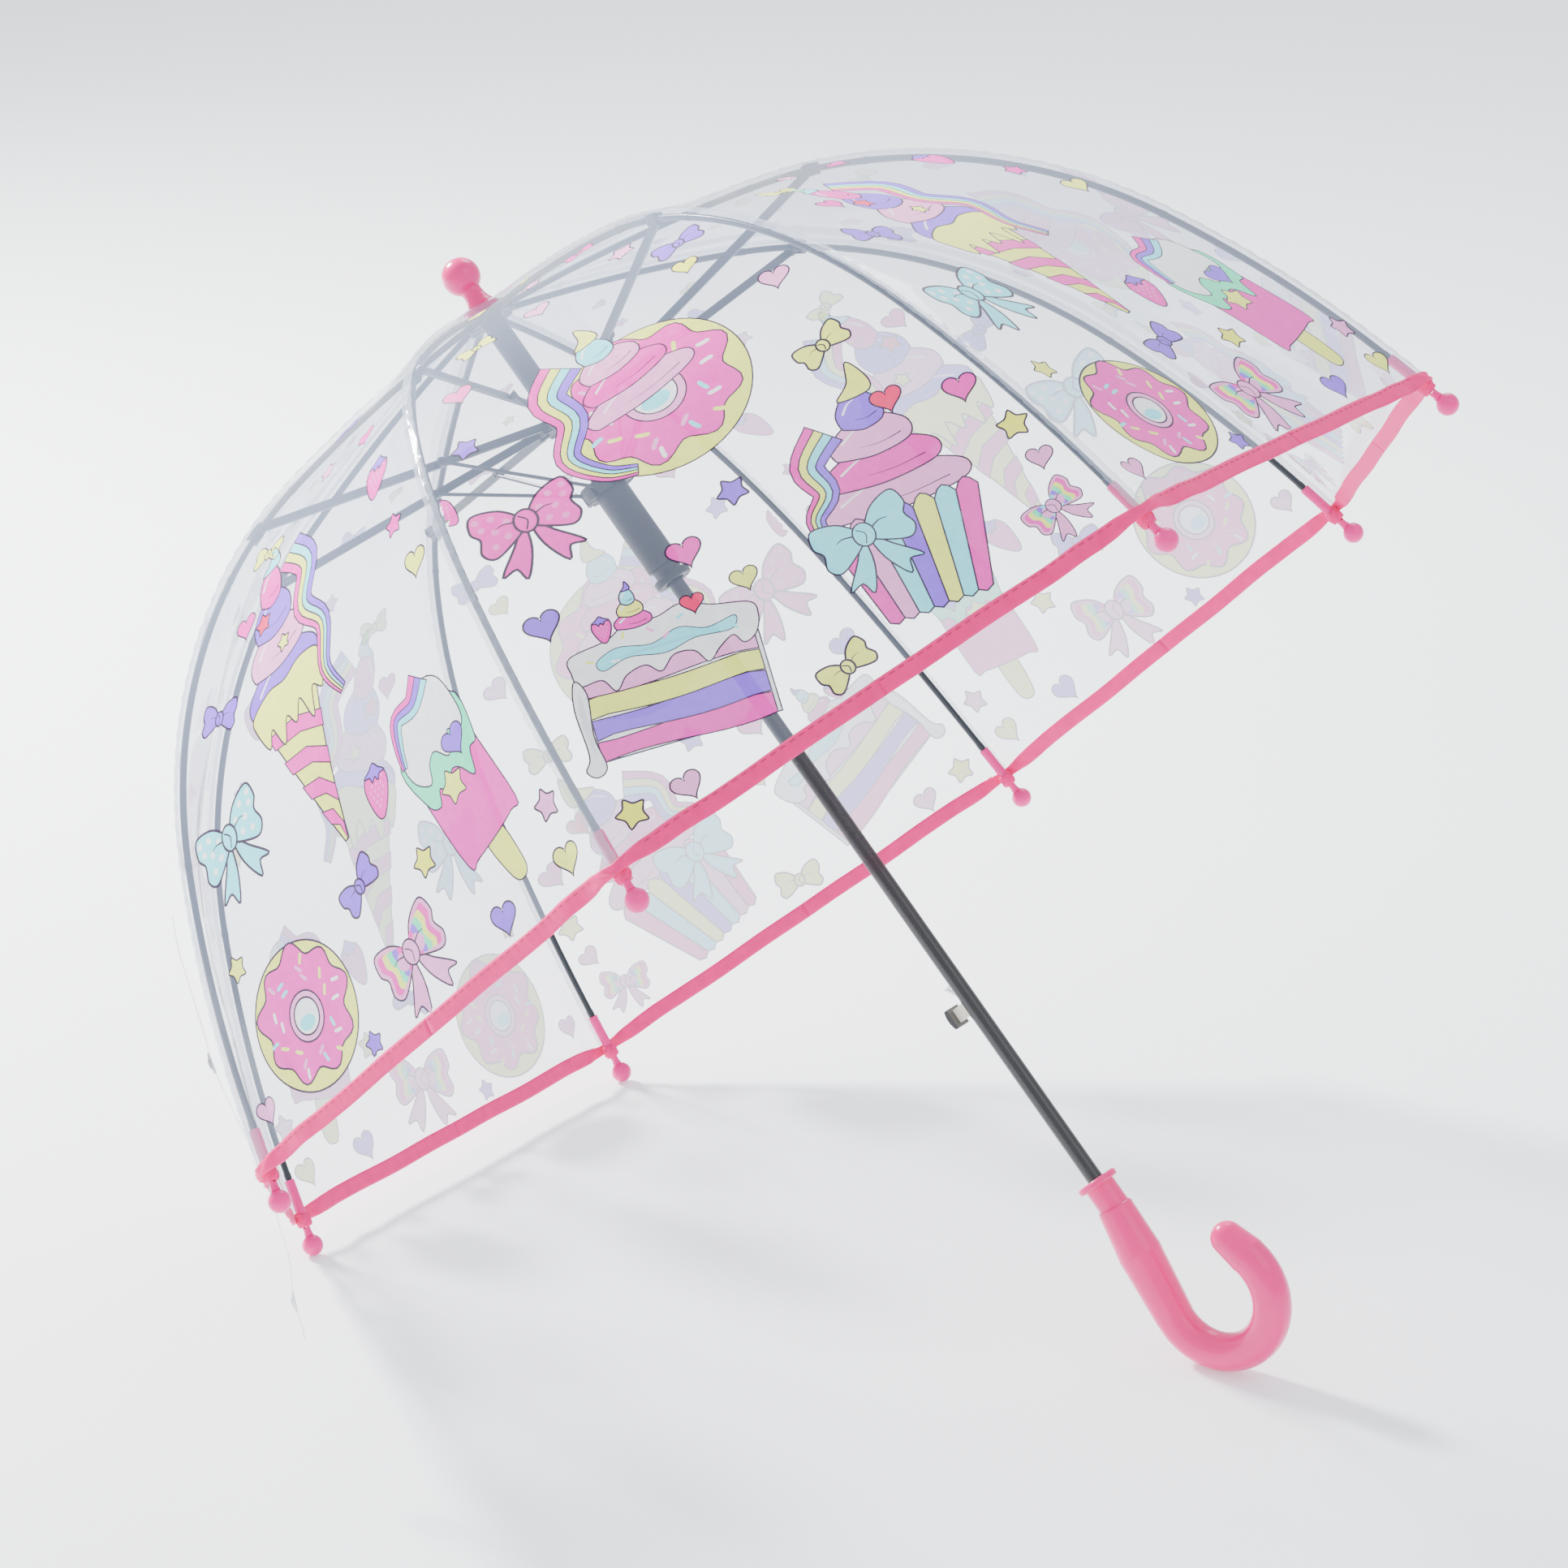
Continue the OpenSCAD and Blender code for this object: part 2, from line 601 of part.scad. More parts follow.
shaft_tube();
crown_notch();
finial();
handle_crook();
handle_collar();
upper_ring();
runner_tube();
drive_spring();
catch_spring();
push_button();
tie_strap();
press_studs();
rib_upper_1();
rib_upper_2();
rib_upper_3();
rib_upper_4();
rib_upper_5();
rib_upper_6();
rib_upper_7();
rib_upper_8();
rib_lower_1();
rib_lower_2();
rib_lower_3();
rib_lower_4();
rib_lower_5();
rib_lower_6();
rib_lower_7();
rib_lower_8();
rib_tip_1();
rib_tip_2();
rib_tip_3();
rib_tip_4();
rib_tip_5();
rib_tip_6();
rib_tip_7();
rib_tip_8();
stretcher_1();
stretcher_2();
stretcher_3();
stretcher_4();
stretcher_5();
stretcher_6();
stretcher_7();
stretcher_8();
strut_1();
strut_2();
strut_3();
strut_4();
strut_5();
strut_6();
strut_7();
strut_8();
canopy_1();
canopy_2();
canopy_3();
canopy_4();
canopy_5();
canopy_6();
canopy_7();
canopy_8();
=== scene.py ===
"""Looks of the children's dome umbrella: clear film with printed sweets, hem tape, seams and
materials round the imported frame, with a pale floor, soft light and the camera."""
import json
import math

import bpy
import numpy as np
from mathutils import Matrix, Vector
from mathutils.geometry import delaunay_2d_cdt


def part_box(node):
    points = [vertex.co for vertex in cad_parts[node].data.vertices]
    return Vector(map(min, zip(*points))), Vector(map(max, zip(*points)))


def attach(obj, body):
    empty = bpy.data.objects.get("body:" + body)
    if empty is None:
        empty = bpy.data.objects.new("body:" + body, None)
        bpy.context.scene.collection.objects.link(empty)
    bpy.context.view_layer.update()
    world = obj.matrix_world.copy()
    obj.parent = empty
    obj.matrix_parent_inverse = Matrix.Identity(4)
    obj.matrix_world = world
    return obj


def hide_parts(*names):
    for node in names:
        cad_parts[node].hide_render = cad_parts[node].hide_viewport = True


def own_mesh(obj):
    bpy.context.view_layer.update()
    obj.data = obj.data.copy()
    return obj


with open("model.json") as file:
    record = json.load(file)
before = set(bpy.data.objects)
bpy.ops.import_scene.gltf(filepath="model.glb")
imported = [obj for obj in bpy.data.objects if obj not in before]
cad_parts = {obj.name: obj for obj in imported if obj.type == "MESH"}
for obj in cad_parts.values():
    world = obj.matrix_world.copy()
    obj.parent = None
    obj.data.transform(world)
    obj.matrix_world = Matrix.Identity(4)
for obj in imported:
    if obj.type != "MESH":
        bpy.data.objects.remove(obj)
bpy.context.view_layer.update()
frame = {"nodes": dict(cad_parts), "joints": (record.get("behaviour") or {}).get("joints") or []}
nodes, joints = frame["nodes"], {j["name"]: j for j in frame["joints"]}
RIBS = range(1, 9)
HALF = math.pi / 8
MM = 0.001


# ---------------------------------------------------------------- materials

def material(name, colour, rough=0.4, metal=0.0, coat=0.0, spec=0.5, alpha=1.0, edge_alpha=None,
             vary=0.08, vary_scale=60.0, bump=0.05, bump_scale=400.0, bump_dist=0.0002,
             back=None, back_alpha=None, subsurface=0.0, split=None, coat_ior=1.5):
    """A Principled material with mottled colour, uneven gloss and a fine bump.
    split = (axis, place, other colour) paints what lies past that place along the axis."""
    m = bpy.data.materials.new(name)
    m.use_nodes = True
    t = m.node_tree
    b = t.nodes["Principled BSDF"]
    link = t.links.new
    coord = t.nodes.new("ShaderNodeTexCoord")
    noise = t.nodes.new("ShaderNodeTexNoise")
    noise.inputs["Scale"].default_value = vary_scale
    noise.inputs["Detail"].default_value = 3
    link(coord.outputs["Object"], noise.inputs["Vector"])
    ramp = t.nodes.new("ShaderNodeValToRGB")
    ramp.color_ramp.elements[0].position = 0.3
    ramp.color_ramp.elements[1].position = 0.7
    ramp.color_ramp.elements[0].color = [c * (1 - vary) for c in colour] + [1]
    ramp.color_ramp.elements[1].color = [min(1, c * (1 + vary)) for c in colour] + [1]
    link(noise.outputs["Fac"], ramp.inputs["Fac"])
    out = ramp.outputs["Color"]

    def mix(fac, a, c2):
        x = t.nodes.new("ShaderNodeMix")
        x.data_type = "RGBA"
        link(fac, x.inputs["Factor"])
        link(a, x.inputs[6])
        x.inputs[7].default_value = list(c2) + [1]
        return x.outputs[2]

    if split:
        axis, place, other = split
        sep = t.nodes.new("ShaderNodeSeparateXYZ")
        link(coord.outputs["Object"], sep.inputs[0])
        step = t.nodes.new("ShaderNodeMapRange")
        step.inputs["From Min"].default_value = place - 0.0003
        step.inputs["From Max"].default_value = place + 0.0003
        link(sep.outputs[axis], step.inputs["Value"])
        out = mix(step.outputs["Result"], out, other)
    if back:
        geo = t.nodes.new("ShaderNodeNewGeometry")
        out = mix(geo.outputs["Backfacing"], out, back)
        am = t.nodes.new("ShaderNodeMapRange")
        am.inputs["To Min"].default_value = alpha
        am.inputs["To Max"].default_value = back_alpha
        link(geo.outputs["Backfacing"], am.inputs["Value"])
        link(am.outputs["Result"], b.inputs["Alpha"])
    link(out, b.inputs["Base Color"])
    fine = t.nodes.new("ShaderNodeTexNoise")
    fine.inputs["Scale"].default_value = bump_scale
    fine.inputs["Detail"].default_value = 2
    link(coord.outputs["Object"], fine.inputs["Vector"])
    gloss = t.nodes.new("ShaderNodeMapRange")
    gloss.inputs["To Min"].default_value = rough * 0.8
    gloss.inputs["To Max"].default_value = min(1, rough * 1.25)
    link(noise.outputs["Fac"], gloss.inputs["Value"])
    link(gloss.outputs["Result"], b.inputs["Roughness"])
    bm = t.nodes.new("ShaderNodeBump")
    bm.inputs["Strength"].default_value = bump
    bm.inputs["Distance"].default_value = bump_dist
    link(fine.outputs["Fac"], bm.inputs["Height"])
    link(bm.outputs["Normal"], b.inputs["Normal"])
    b.inputs["Metallic"].default_value = metal
    b.inputs["Coat Weight"].default_value = coat
    b.inputs["Coat Roughness"].default_value = 0.06
    b.inputs["Coat IOR"].default_value = coat_ior
    b.inputs["Specular IOR Level"].default_value = spec
    b.inputs["Subsurface Weight"].default_value = subsurface
    if subsurface:
        b.inputs["Subsurface Radius"].default_value = (0.004, 0.0015, 0.001)
    if edge_alpha is not None:
        lw = t.nodes.new("ShaderNodeLayerWeight")
        lw.inputs["Blend"].default_value = 0.3
        am = t.nodes.new("ShaderNodeMapRange")
        am.inputs["To Min"].default_value = alpha
        am.inputs["To Max"].default_value = edge_alpha
        link(lw.outputs["Facing"], am.inputs["Value"])
        link(am.outputs["Result"], b.inputs["Alpha"])
    elif not back:
        b.inputs["Alpha"].default_value = alpha
    return m


PINK = (0.84, 0.004, 0.2)
M = {
    "pink": material("pink_moulded", PINK, rough=0.24, coat=0.3, spec=0.35, vary=0.03, vary_scale=25,
                     bump=0.08, bump_scale=900, bump_dist=0.0001, subsurface=0.1),
    "tip": material("pink_tip", (0.86, 0.008, 0.25), rough=0.3, coat=0.2, spec=0.35, vary=0.04,
                    subsurface=0.1),
    "shaft": material("shaft_black", (0.008, 0.009, 0.011), rough=0.26, coat=0.3, vary=0.15,
                      vary_scale=80, bump=0.12, bump_scale=1200),
    "frame": material("rib_black", (0.006, 0.012, 0.02), rough=0.3, coat=0.2, vary=0.2,
                      vary_scale=90, bump=0.15, bump_scale=900),
    "wire": material("strut_black", (0.01, 0.015, 0.022), rough=0.35, coat=0.2, vary=0.2, bump=0.1),
    "black": material("black_plastic", (0.006, 0.0065, 0.008), rough=0.42, vary=0.15, bump=0.25,
                      bump_scale=1500),
    "steel": material("spring_steel", (0.6, 0.6, 0.62), rough=0.25, metal=1.0, vary=0.1,
                      vary_scale=200, bump=0.1),
    "film": material("clear_film", (0.42, 0.52, 0.78), rough=0.08, spec=0.8, alpha=0.1, edge_alpha=0.7,
                     coat=1.0, coat_ior=2.3, vary=0.02, vary_scale=12, bump=0.2, bump_scale=45,
                     bump_dist=0.0007),
    "strap": material("clear_strap", (0.85, 0.89, 0.94), rough=0.12, spec=0.7, alpha=0.12,
                      edge_alpha=0.7, vary=0.02, bump=0.1, bump_scale=90),
    "seam": material("seam_weld", (0.6, 0.68, 0.86), rough=0.12, spec=0.9, alpha=0.32,
                     edge_alpha=0.95, coat=1.0, coat_ior=2.3, vary=0.05, vary_scale=90, bump=0.6,
                     bump_scale=210, bump_dist=0.0009),
    "tape": material("hem_tape", (0.9, 0.008, 0.2), rough=0.55, spec=0.3, vary=0.07,
                     vary_scale=160, bump=0.35, bump_scale=2600, bump_dist=0.0002),
    "thread": material("hem_thread", (0.5, 0.01, 0.1), rough=0.7, vary=0.1, bump=0.3),
}
INKS = {
    "white": (0.93, 0.94, 0.97), "hot": (0.97, 0.03, 0.5), "light": (0.95, 0.35, 0.72),
    "purple": (0.27, 0.1, 0.9), "violet": (0.08, 0.01, 0.6), "yellow": (0.9, 0.98, 0.16),
    "blue": (0.2, 0.85, 0.97), "mint": (0.09, 0.9, 0.52), "outline": (0.03, 0.008, 0.04),
    "red": (0.9, 0.012, 0.13), "gold": (0.93, 0.95, 0.07), "dots": (0.95, 0.2, 0.6),
}
INK_ORDER = list(INKS)
for _n, _c in INKS.items():
    _pale = tuple(0.96 * v + 0.04 for v in _c)
    M["ink_" + _n] = material("ink_" + _n, _c, rough=0.3, spec=0.3, vary=0.04, vary_scale=300,
                              bump=0.05, back=_pale, alpha=0.97, back_alpha=0.7)


def paint(name, key):
    """One material over a whole CAD node."""
    o = nodes[name]
    o.data.materials.clear()
    o.data.materials.append(M[key])


def new_mesh(name, verts, faces, keys, body, indices=None):
    """A new smooth-shaded piece that rides one body and takes its colour from one slot."""
    me = bpy.data.meshes.new(name)
    me.from_pydata([tuple(v) for v in verts], [], [tuple(int(i) for i in f) for f in faces])
    for k in ([keys] if isinstance(keys, str) else keys):
        me.materials.append(M[k])
    if indices is not None:
        me.polygons.foreach_set("material_index", np.asarray(indices, np.int32))
    me.polygons.foreach_set("use_smooth", [True] * len(me.polygons))
    me.update()
    o = bpy.data.objects.new(name, me)
    bpy.context.scene.collection.objects.link(o)
    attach(o, body)
    return o


# ---------------------------------------------------------------- the canopy's shape

def azimuth(k):
    ax = joints[f"rib_{k}_crown"]["axis"]
    return math.atan2(ax[0], -ax[1])


AZ = {k: azimuth(k) for k in RIBS}


def film_profile():
    """The middle of the film over rib 1, from the crown to the hem, as (distance, height)."""
    co = np.array([v.co for v in nodes["canopy_1"].data.vertices], float)
    c, s = math.cos(AZ[1]), math.sin(AZ[1])
    along, across = co[:, 0] * c + co[:, 1] * s, -co[:, 0] * s + co[:, 1] * c
    rib = np.unique(np.round(np.c_[along, co[:, 2]][np.abs(across) < 1e-5], 6), axis=0)
    gap = np.linalg.norm(rib[:, None] - rib[None], axis=2) + np.eye(len(rib))
    mate = gap.argmin(1)
    mid = np.unique(np.round((rib + rib[mate]) / 2, 7), axis=0)
    return mid[np.argsort(mid[:, 0])]


PROFILE = film_profile()
_run = np.r_[0, np.cumsum(np.linalg.norm(np.diff(PROFILE, axis=0), axis=1))]
LENGTH = _run[-1]
_slope = np.gradient(PROFILE, _run, axis=0)


def profile(s):
    """Distance from the shaft, height, and the outward normal at length s from the crown."""
    s = np.clip(np.asarray(s, float), 0, LENGTH)
    i = np.clip(np.searchsorted(_run, s, side="right") - 1, 0, len(_run) - 2)
    h = _run[i + 1] - _run[i]
    u = ((s - _run[i]) / h)[..., None]
    h = h[..., None]
    p0, p1, m0, m1 = PROFILE[i], PROFILE[i + 1], _slope[i] * h, _slope[i + 1] * h
    p = (2*u**3 - 3*u**2 + 1)*p0 + (u**3 - 2*u**2 + u)*m0 + (3*u**2 - 2*u**3)*p1 + (u**3 - u**2)*m1
    d = ((6*u**2 - 6*u)*p0 + (3*u**2 - 4*u + 1)*m0 + (6*u - 6*u**2)*p1 + (3*u**2 - 2*u)*m1) / h
    d /= np.linalg.norm(d, axis=-1, keepdims=True)
    return p[..., 0], p[..., 1], np.stack([-d[..., 1], d[..., 0]], -1)


ELBOW_R = math.hypot(*joints["rib_1_elbow"]["pos_m"][:2])
_s = np.linspace(0, LENGTH, 4000)
_r = profile(_s)[0]
ELBOW_S = float(_s[np.argmin(abs(_r - ELBOW_R))])
# the film's small shapes: the blunted crease, its sag and waves, and ripples by the tips
CREASE = 2.2 * MM
SAG, WAVE, RIPPLE = 0.0016, 0.0007, 0.0011
RIPPLE_HEIGHT, RIPPLE_REACH = 0.075, 0.06
BLUNT = CREASE * math.tan(HALF)  # how far the blunted crease holds the film out


def surface(k, s, y, lift=0.0):
    """Points on sector k of the dome: s along the rib from the crown, y sideways from it.
    The two panels meet in a blunted crease over the rib, sag slightly and ripple near the hem."""
    s, y = np.broadcast_arrays(np.asarray(s, float), np.asarray(y, float))
    r, z, n = profile(s)
    over = np.maximum(s - LENGTH, 0)
    tan = math.tan(HALF)
    wider = (r + over * n[..., 1]) / r
    r, z, y = r * wider, z - over * n[..., 0], y * wider
    x = r - tan * (np.sqrt(y**2 + CREASE**2) - CREASE)
    side = y / np.sqrt(y**2 + CREASE**2)
    edge = np.abs(y) / ((r + BLUNT) * math.sin(HALF) * math.cos(HALF))
    low = np.clip(1 - (LENGTH - s) / RIPPLE_HEIGHT, 0, 1)
    near = np.clip(1 - np.abs(y) / RIPPLE_REACH, 0, 1) * np.clip(np.abs(y) / 0.006, 0, 1)
    ripple = RIPPLE * low * near * np.sin(np.abs(y) / 0.0042 + 30 * (LENGTH - s))
    wave = WAVE * np.sin(s * 38 + np.cos(7 * k) * 2) * np.sin(edge * math.pi) ** 2
    sag = SAG * np.sin(edge * math.pi / 2) ** 2 * np.sin(np.clip(s / LENGTH, 0, 1) * math.pi)
    off = lift + ripple + (wave - sag)
    nx, ny, nz = n[..., 0], n[..., 0] * side * tan, n[..., 1]
    size = np.sqrt(nx**2 + ny**2 + nz**2)
    x, z = x + off * nx / size, z + off * nz / size
    yy = y + off * ny / size
    c, q = math.cos(AZ[k]), math.sin(AZ[k])
    return np.stack([x * c - yy * q, x * q + yy * c, z], -1)


def half_width(s):
    return (profile(s)[0] + BLUNT) * math.sin(HALF) * math.cos(HALF)


def settle(o):
    """Gives the piece its own copy of its mesh."""
    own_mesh(o)


def grid_faces(rows, cols):
    i, j = np.meshgrid(np.arange(rows - 1), np.arange(cols - 1), indexing="ij")
    a = (i * cols + j).ravel()
    return np.c_[a, a + cols, a + cols + 1, a + 1]


def spread(n, soft=0.6):
    """n places from -1 to 1, closer together near 0."""
    u = np.linspace(-1, 1, n)
    return np.sign(u) * np.abs(u) ** (1 + soft)


LEVELS = {"upper": (0.0, ELBOW_S), "lower": (ELBOW_S, LENGTH)}
films = {}
for k in RIBS:
    for level, (s0, s1) in LEVELS.items():
        rows = 26 if level == "upper" else 66
        s = np.linspace(s0, s1, rows)[:, None]
        y = spread(41)[None, :] * half_width(s)
        p = surface(k, s, y)
        f = new_mesh(f"film_{level}_{k}", p.reshape(-1, 3), grid_faces(rows, 41), "film",
                     f"rib_{k}_{level}")
        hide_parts(f"canopy_{k}")
        films[level, k] = f


# ---------------------------------------------------------------- seams, hem tape, stitches

def band(name, k, level, s, half, lift, key, ripple):
    """A strip along the rib with a raised middle and uneven edges."""
    cols = np.array([-1, -0.72, -0.4, -0.15, 0, 0.15, 0.4, 0.72, 1])
    crown = np.array([0, 0.35, 0.3, 0.8, 1, 0.8, 0.3, 0.35, 0])
    wob = 1 + ripple * np.sin(s * 900 + k) * np.sin(s * 377)
    p = surface(k, s[:, None], cols[None] * half * wob[:, None],
                lift + crown[None] * 0.00035 * (1 + 0.6 * np.sin(s * 700 + 2 * k))[:, None])
    return new_mesh(name, p.reshape(-1, 3), grid_faces(len(s), len(cols)), key,
                    f"rib_{k}_{level}")


def tape_section(s0, s1, thick):
    """The folded tape seen end-on: (length from the crown, lift), round both faces."""
    n = 7
    top = [(s0 + (s1 - s0) * i / n, thick * (1 - 0.25 * (i in (0, n)))) for i in range(n + 1)]
    return top + [(s, -v) for s, v in reversed(top)]


pieces_on = {key: [] for key in films}
for k in RIBS:
    for level, (s0, s1) in LEVELS.items():
        s = np.arange(max(s0, 0.012), s1 - (0.002 if level == "lower" else 0) + 1e-9, 0.002)
        s[-1] = s1 if level == "upper" else s[-1]
        b = band(f"seam_{level}_{k}", k, level, s, 2.7 * MM, 0.25 * MM, "seam", 0.12)
        pieces_on[level, k].append(b)
    w = float(half_width(LENGTH))
    ys = spread(121, 0.25) * w
    verts, sec = [], tape_section(LENGTH - 6.6 * MM, LENGTH + 1.6 * MM, 0.45 * MM)
    for y in ys:
        pinch = math.exp(-(y / 0.011) ** 2)
        mid = LENGTH - 1.5 * MM
        for a, (s, v) in enumerate(sec):
            crease = 0.35 * MM * math.sin(abs(y) / 0.0016 + a) * math.exp(-abs(y) / 0.016)
            wander = 0.35 * MM * math.sin(abs(y) * 90 + k) * (1 - (y / w) ** 4)
            ss = mid + (s - mid) * (1 - 0.42 * pinch) + wander
            shrink = float(half_width(min(ss, LENGTH))) / w
            verts.append(surface(k, ss, y * shrink, v * (1 + 1.1 * pinch) + crease + pinch * 0.5 * MM))
    m = len(sec)
    i, j = np.meshgrid(np.arange(len(ys) - 1), np.arange(m), indexing="ij")
    a, b2 = (i * m + j).ravel(), (i * m + (j + 1) % m).ravel()
    faces = [list(f) for f in np.c_[a, b2, b2 + m, a + m]]
    faces += [list(range(m))[::-1], list(range((len(ys) - 1) * m, len(ys) * m))]
    tape = new_mesh(f"hem_tape_{k}", verts, faces, "tape", f"rib_{k}_lower")
    # one thread dash every few millimetres, just under the tape's upper edge
    sv, sf = [], []
    for y in np.arange(-w + 2.2 * MM, w - 1.6 * MM, 4.4 * MM):
        if abs(y) < 7 * MM:
            continue
        for e, h in ((-1.3, 0), (-0.8, 1), (0.8, 1), (1.3, 0)):
            for side in (-1, 0, 1):
                sv.append(surface(k, LENGTH - 5.0 * MM + side * 0.28 * MM * (0.5 + 0.5 * h), y + e * MM,
                                  (0.5 + (0.2 if side == 0 else 0.02) * (0.4 + h)) * MM))
        base = len(sv) - 12
        for r in range(3):
            for c in range(2):
                q = base + r * 3 + c
                sf.append((q, q + 3, q + 4, q + 1))
    stitches = new_mesh(f"hem_stitches_{k}", sv, sf, "thread", f"rib_{k}_lower")
    pieces_on["lower", k] += [tape, stitches]


# ---------------------------------------------------------------- printed sweets
# Each motif is a list of (ink, outline) layers from the bottom up, drawn flat in millimetres.

def ellipse(rx, ry=None, at=(0, 0), n=30, turn=0.0):
    """An oval outline of n points."""
    a = np.linspace(0, 2 * math.pi, n, endpoint=False)
    return move(np.c_[rx * np.cos(a), (ry or rx) * np.sin(a)], *at, turn)


def move(p, x=0.0, y=0.0, turn=0.0, size=1.0, flip=False):
    """The points mirrored, scaled, turned by degrees and shifted, in that order."""
    p = np.asarray(p, float) * size * ([-1, 1] if flip else [1, 1])
    c, s = math.cos(math.radians(turn)), math.sin(math.radians(turn))
    return p @ np.array([[c, s], [-s, c]]) + [x, y]


def smooth(points, per=6, closed=True):
    """A flowing curve through the points, with so many steps per span."""
    p = np.asarray(points, float)
    n, out = len(p), []
    for i in range(n if closed else n - 1):
        a, b, c, d = (p[(i + j) % n] if closed else p[min(max(i + j, 0), n - 1)] for j in (-1, 0, 1, 2))
        for t in np.linspace(0, 1, per, endpoint=False):
            out.append(0.5 * (2*b + (c - a)*t + (2*a - 5*b + 4*c - d)*t*t + (3*b - a - 3*c + d)*t**3))
    if not closed:
        out.append(p[-1])
    return np.array(out)


def grow(p, by):
    """The outline moved out by a distance, by its points' own normals."""
    area = 0.5 * np.sum(p[:, 0] * np.roll(p[:, 1], -1) - p[:, 1] * np.roll(p[:, 0], -1))
    e = np.roll(p, -1, 0) - p
    e /= np.maximum(np.linalg.norm(e, axis=1, keepdims=True), 1e-9)
    n = np.c_[e[:, 1], -e[:, 0]] * np.sign(area)
    v = n + np.roll(n, 1, 0)
    v /= np.maximum(np.linalg.norm(v, axis=1, keepdims=True), 1e-9)
    cos = np.clip(np.sum(v * n, axis=1, keepdims=True), 0.45, 1)
    return p + v * by / cos


def stroke(path, w0, w1=None, per=5):
    """A brush line through the points, from width w0 to w1."""
    p = smooth(path, per, closed=False)
    w1 = w0 if w1 is None else w1
    w = np.linspace(w0, w1, len(p))[:, None] / 2
    d = np.gradient(p, axis=0)
    d /= np.maximum(np.linalg.norm(d, axis=1, keepdims=True), 1e-9)
    n = np.c_[-d[:, 1], d[:, 0]]
    tip = p[-1] + d[-1] * w[-1]
    tail = p[0] - d[0] * w[0]
    return np.vstack([p + n * w, tip, (p - n * w)[::-1], tail])


LINE = 0.42


def shape(colour, loop, line=LINE):
    """A filled shape with a dark outline: its layers from the bottom up."""
    return [("outline", grow(loop, line)), (colour, grow(loop, -line * 0.6))]


def heart(colour, r=6.0):
    t = np.linspace(0, 2 * math.pi, 36, endpoint=False)
    p = np.c_[16 * np.sin(t) ** 3, 13 * np.cos(t) - 5 * np.cos(2*t) - 2 * np.cos(3*t) - np.cos(4*t)]
    return shape(colour, p * r / 15)


def star(colour, r=6.0):
    a = math.pi / 2 + np.arange(10) * math.pi / 5
    p = np.c_[np.cos(a), np.sin(a)] * np.where(np.arange(10) % 2, 0.56, 1.0)[:, None] * r
    q = []
    for i in range(10):
        a0, b0, c0 = p[i - 1], p[i], p[(i + 1) % 10]
        q += [b0 + (a0 - b0) * 0.22, b0 + (a0 + c0 - 2 * b0) * 0.06, b0 + (c0 - b0) * 0.22]
    return shape(colour, np.array(q))


def bow(colour, r=12.0, tails=True, dots=None, bands=None):
    wing = smooth([(1, 1.5), (5, 6), (11, 7.5), (12.5, 3), (11, 0), (12, -4), (9.5, -6.5), (4, -4),
                   (1, -1.5)])
    tail = smooth([(1, -1), (5, -6), (10, -12), (6.5, -11.5), (5, -15), (1.5, -8)], 4)
    out = []
    for flip in (False, True):
        if tails:
            out += shape(colour, move(tail, flip=flip, size=r / 12))
        out += shape(colour, move(wing, flip=flip, size=r / 12))
        if bands:
            for i, b in enumerate(bands):
                inner = grow(wing, -1.2)
                sub = inner * [1 - 0.17 * i, 1 - 0.1 * i]
                out.append((b, move(sub, flip=flip, size=r / 12)))
            out.append((colour, move(smooth([(1.5, 1), (4, 2.4), (6, 0), (4, -2.4), (1.5, -1)]),
                                     flip=flip, size=r / 12)))
        if dots:
            for x, y in ((4, 2), (7, 4.6), (7.4, 0.6), (10, 2.6), (5, -2), (8.5, -3.4), (10.6, 5.4)):
                out.append((dots, move(ellipse(0.9, n=12), x, y)
                            * ([-r / 12, r / 12] if flip else [r / 12, r / 12])))
        out.append(("outline", move(stroke([(2, 0.6), (5, 1.6), (7, 1.2)], 0.5, 0.2), flip=flip,
                                    size=r / 12)))
    return out + shape(colour, ellipse(2.7 * r / 12, 3.3 * r / 12, n=20)) + \
        [("outline", stroke([(-1.2 * r / 12, 2 * r / 12), (0.4 * r / 12, 0),
                             (-0.6 * r / 12, -2.4 * r / 12)], 0.45))]


def strawberry(r=10.0):
    body = smooth([(0, 9), (5.5, 10), (8, 5), (6.5, -2), (3, -9), (0, -11), (-3, -9), (-6.5, -2),
                   (-8, 5), (-5.5, 10)])
    out = shape("hot", body * r / 11)
    for i in range(-2, 3):
        for j in range(-3, 4):
            x, y = i * 3.1 + (j % 2) * 1.5, j * 2.5 - 0.5
            if abs(x) < 6.4 - 0.45 * abs(y - 3) and -8 < y < 8:
                out.append(("dots", move(ellipse(0.7, 0.95, n=10), x, y) * r / 11))
    leaf = smooth([(-7, 9), (-3, 11.5), (0, 14), (3, 11.5), (7, 9), (3.4, 8.4), (2, 6), (0, 8), (-2, 6),
                   (-3.4, 8.4)], 4)
    return out + shape("purple", leaf * r / 11)


def sprinkles(spots, size=1.0):
    out = []
    for i, (x, y) in enumerate(spots):
        bar = stroke([(-1.5, 0), (0, 0.1), (1.5, 0)], 1.25, per=3)
        out.append((("white", "yellow", "light", "blue")[i % 4],
                    move(bar, x, y, turn=(i * 67) % 180, size=size)))
    return out


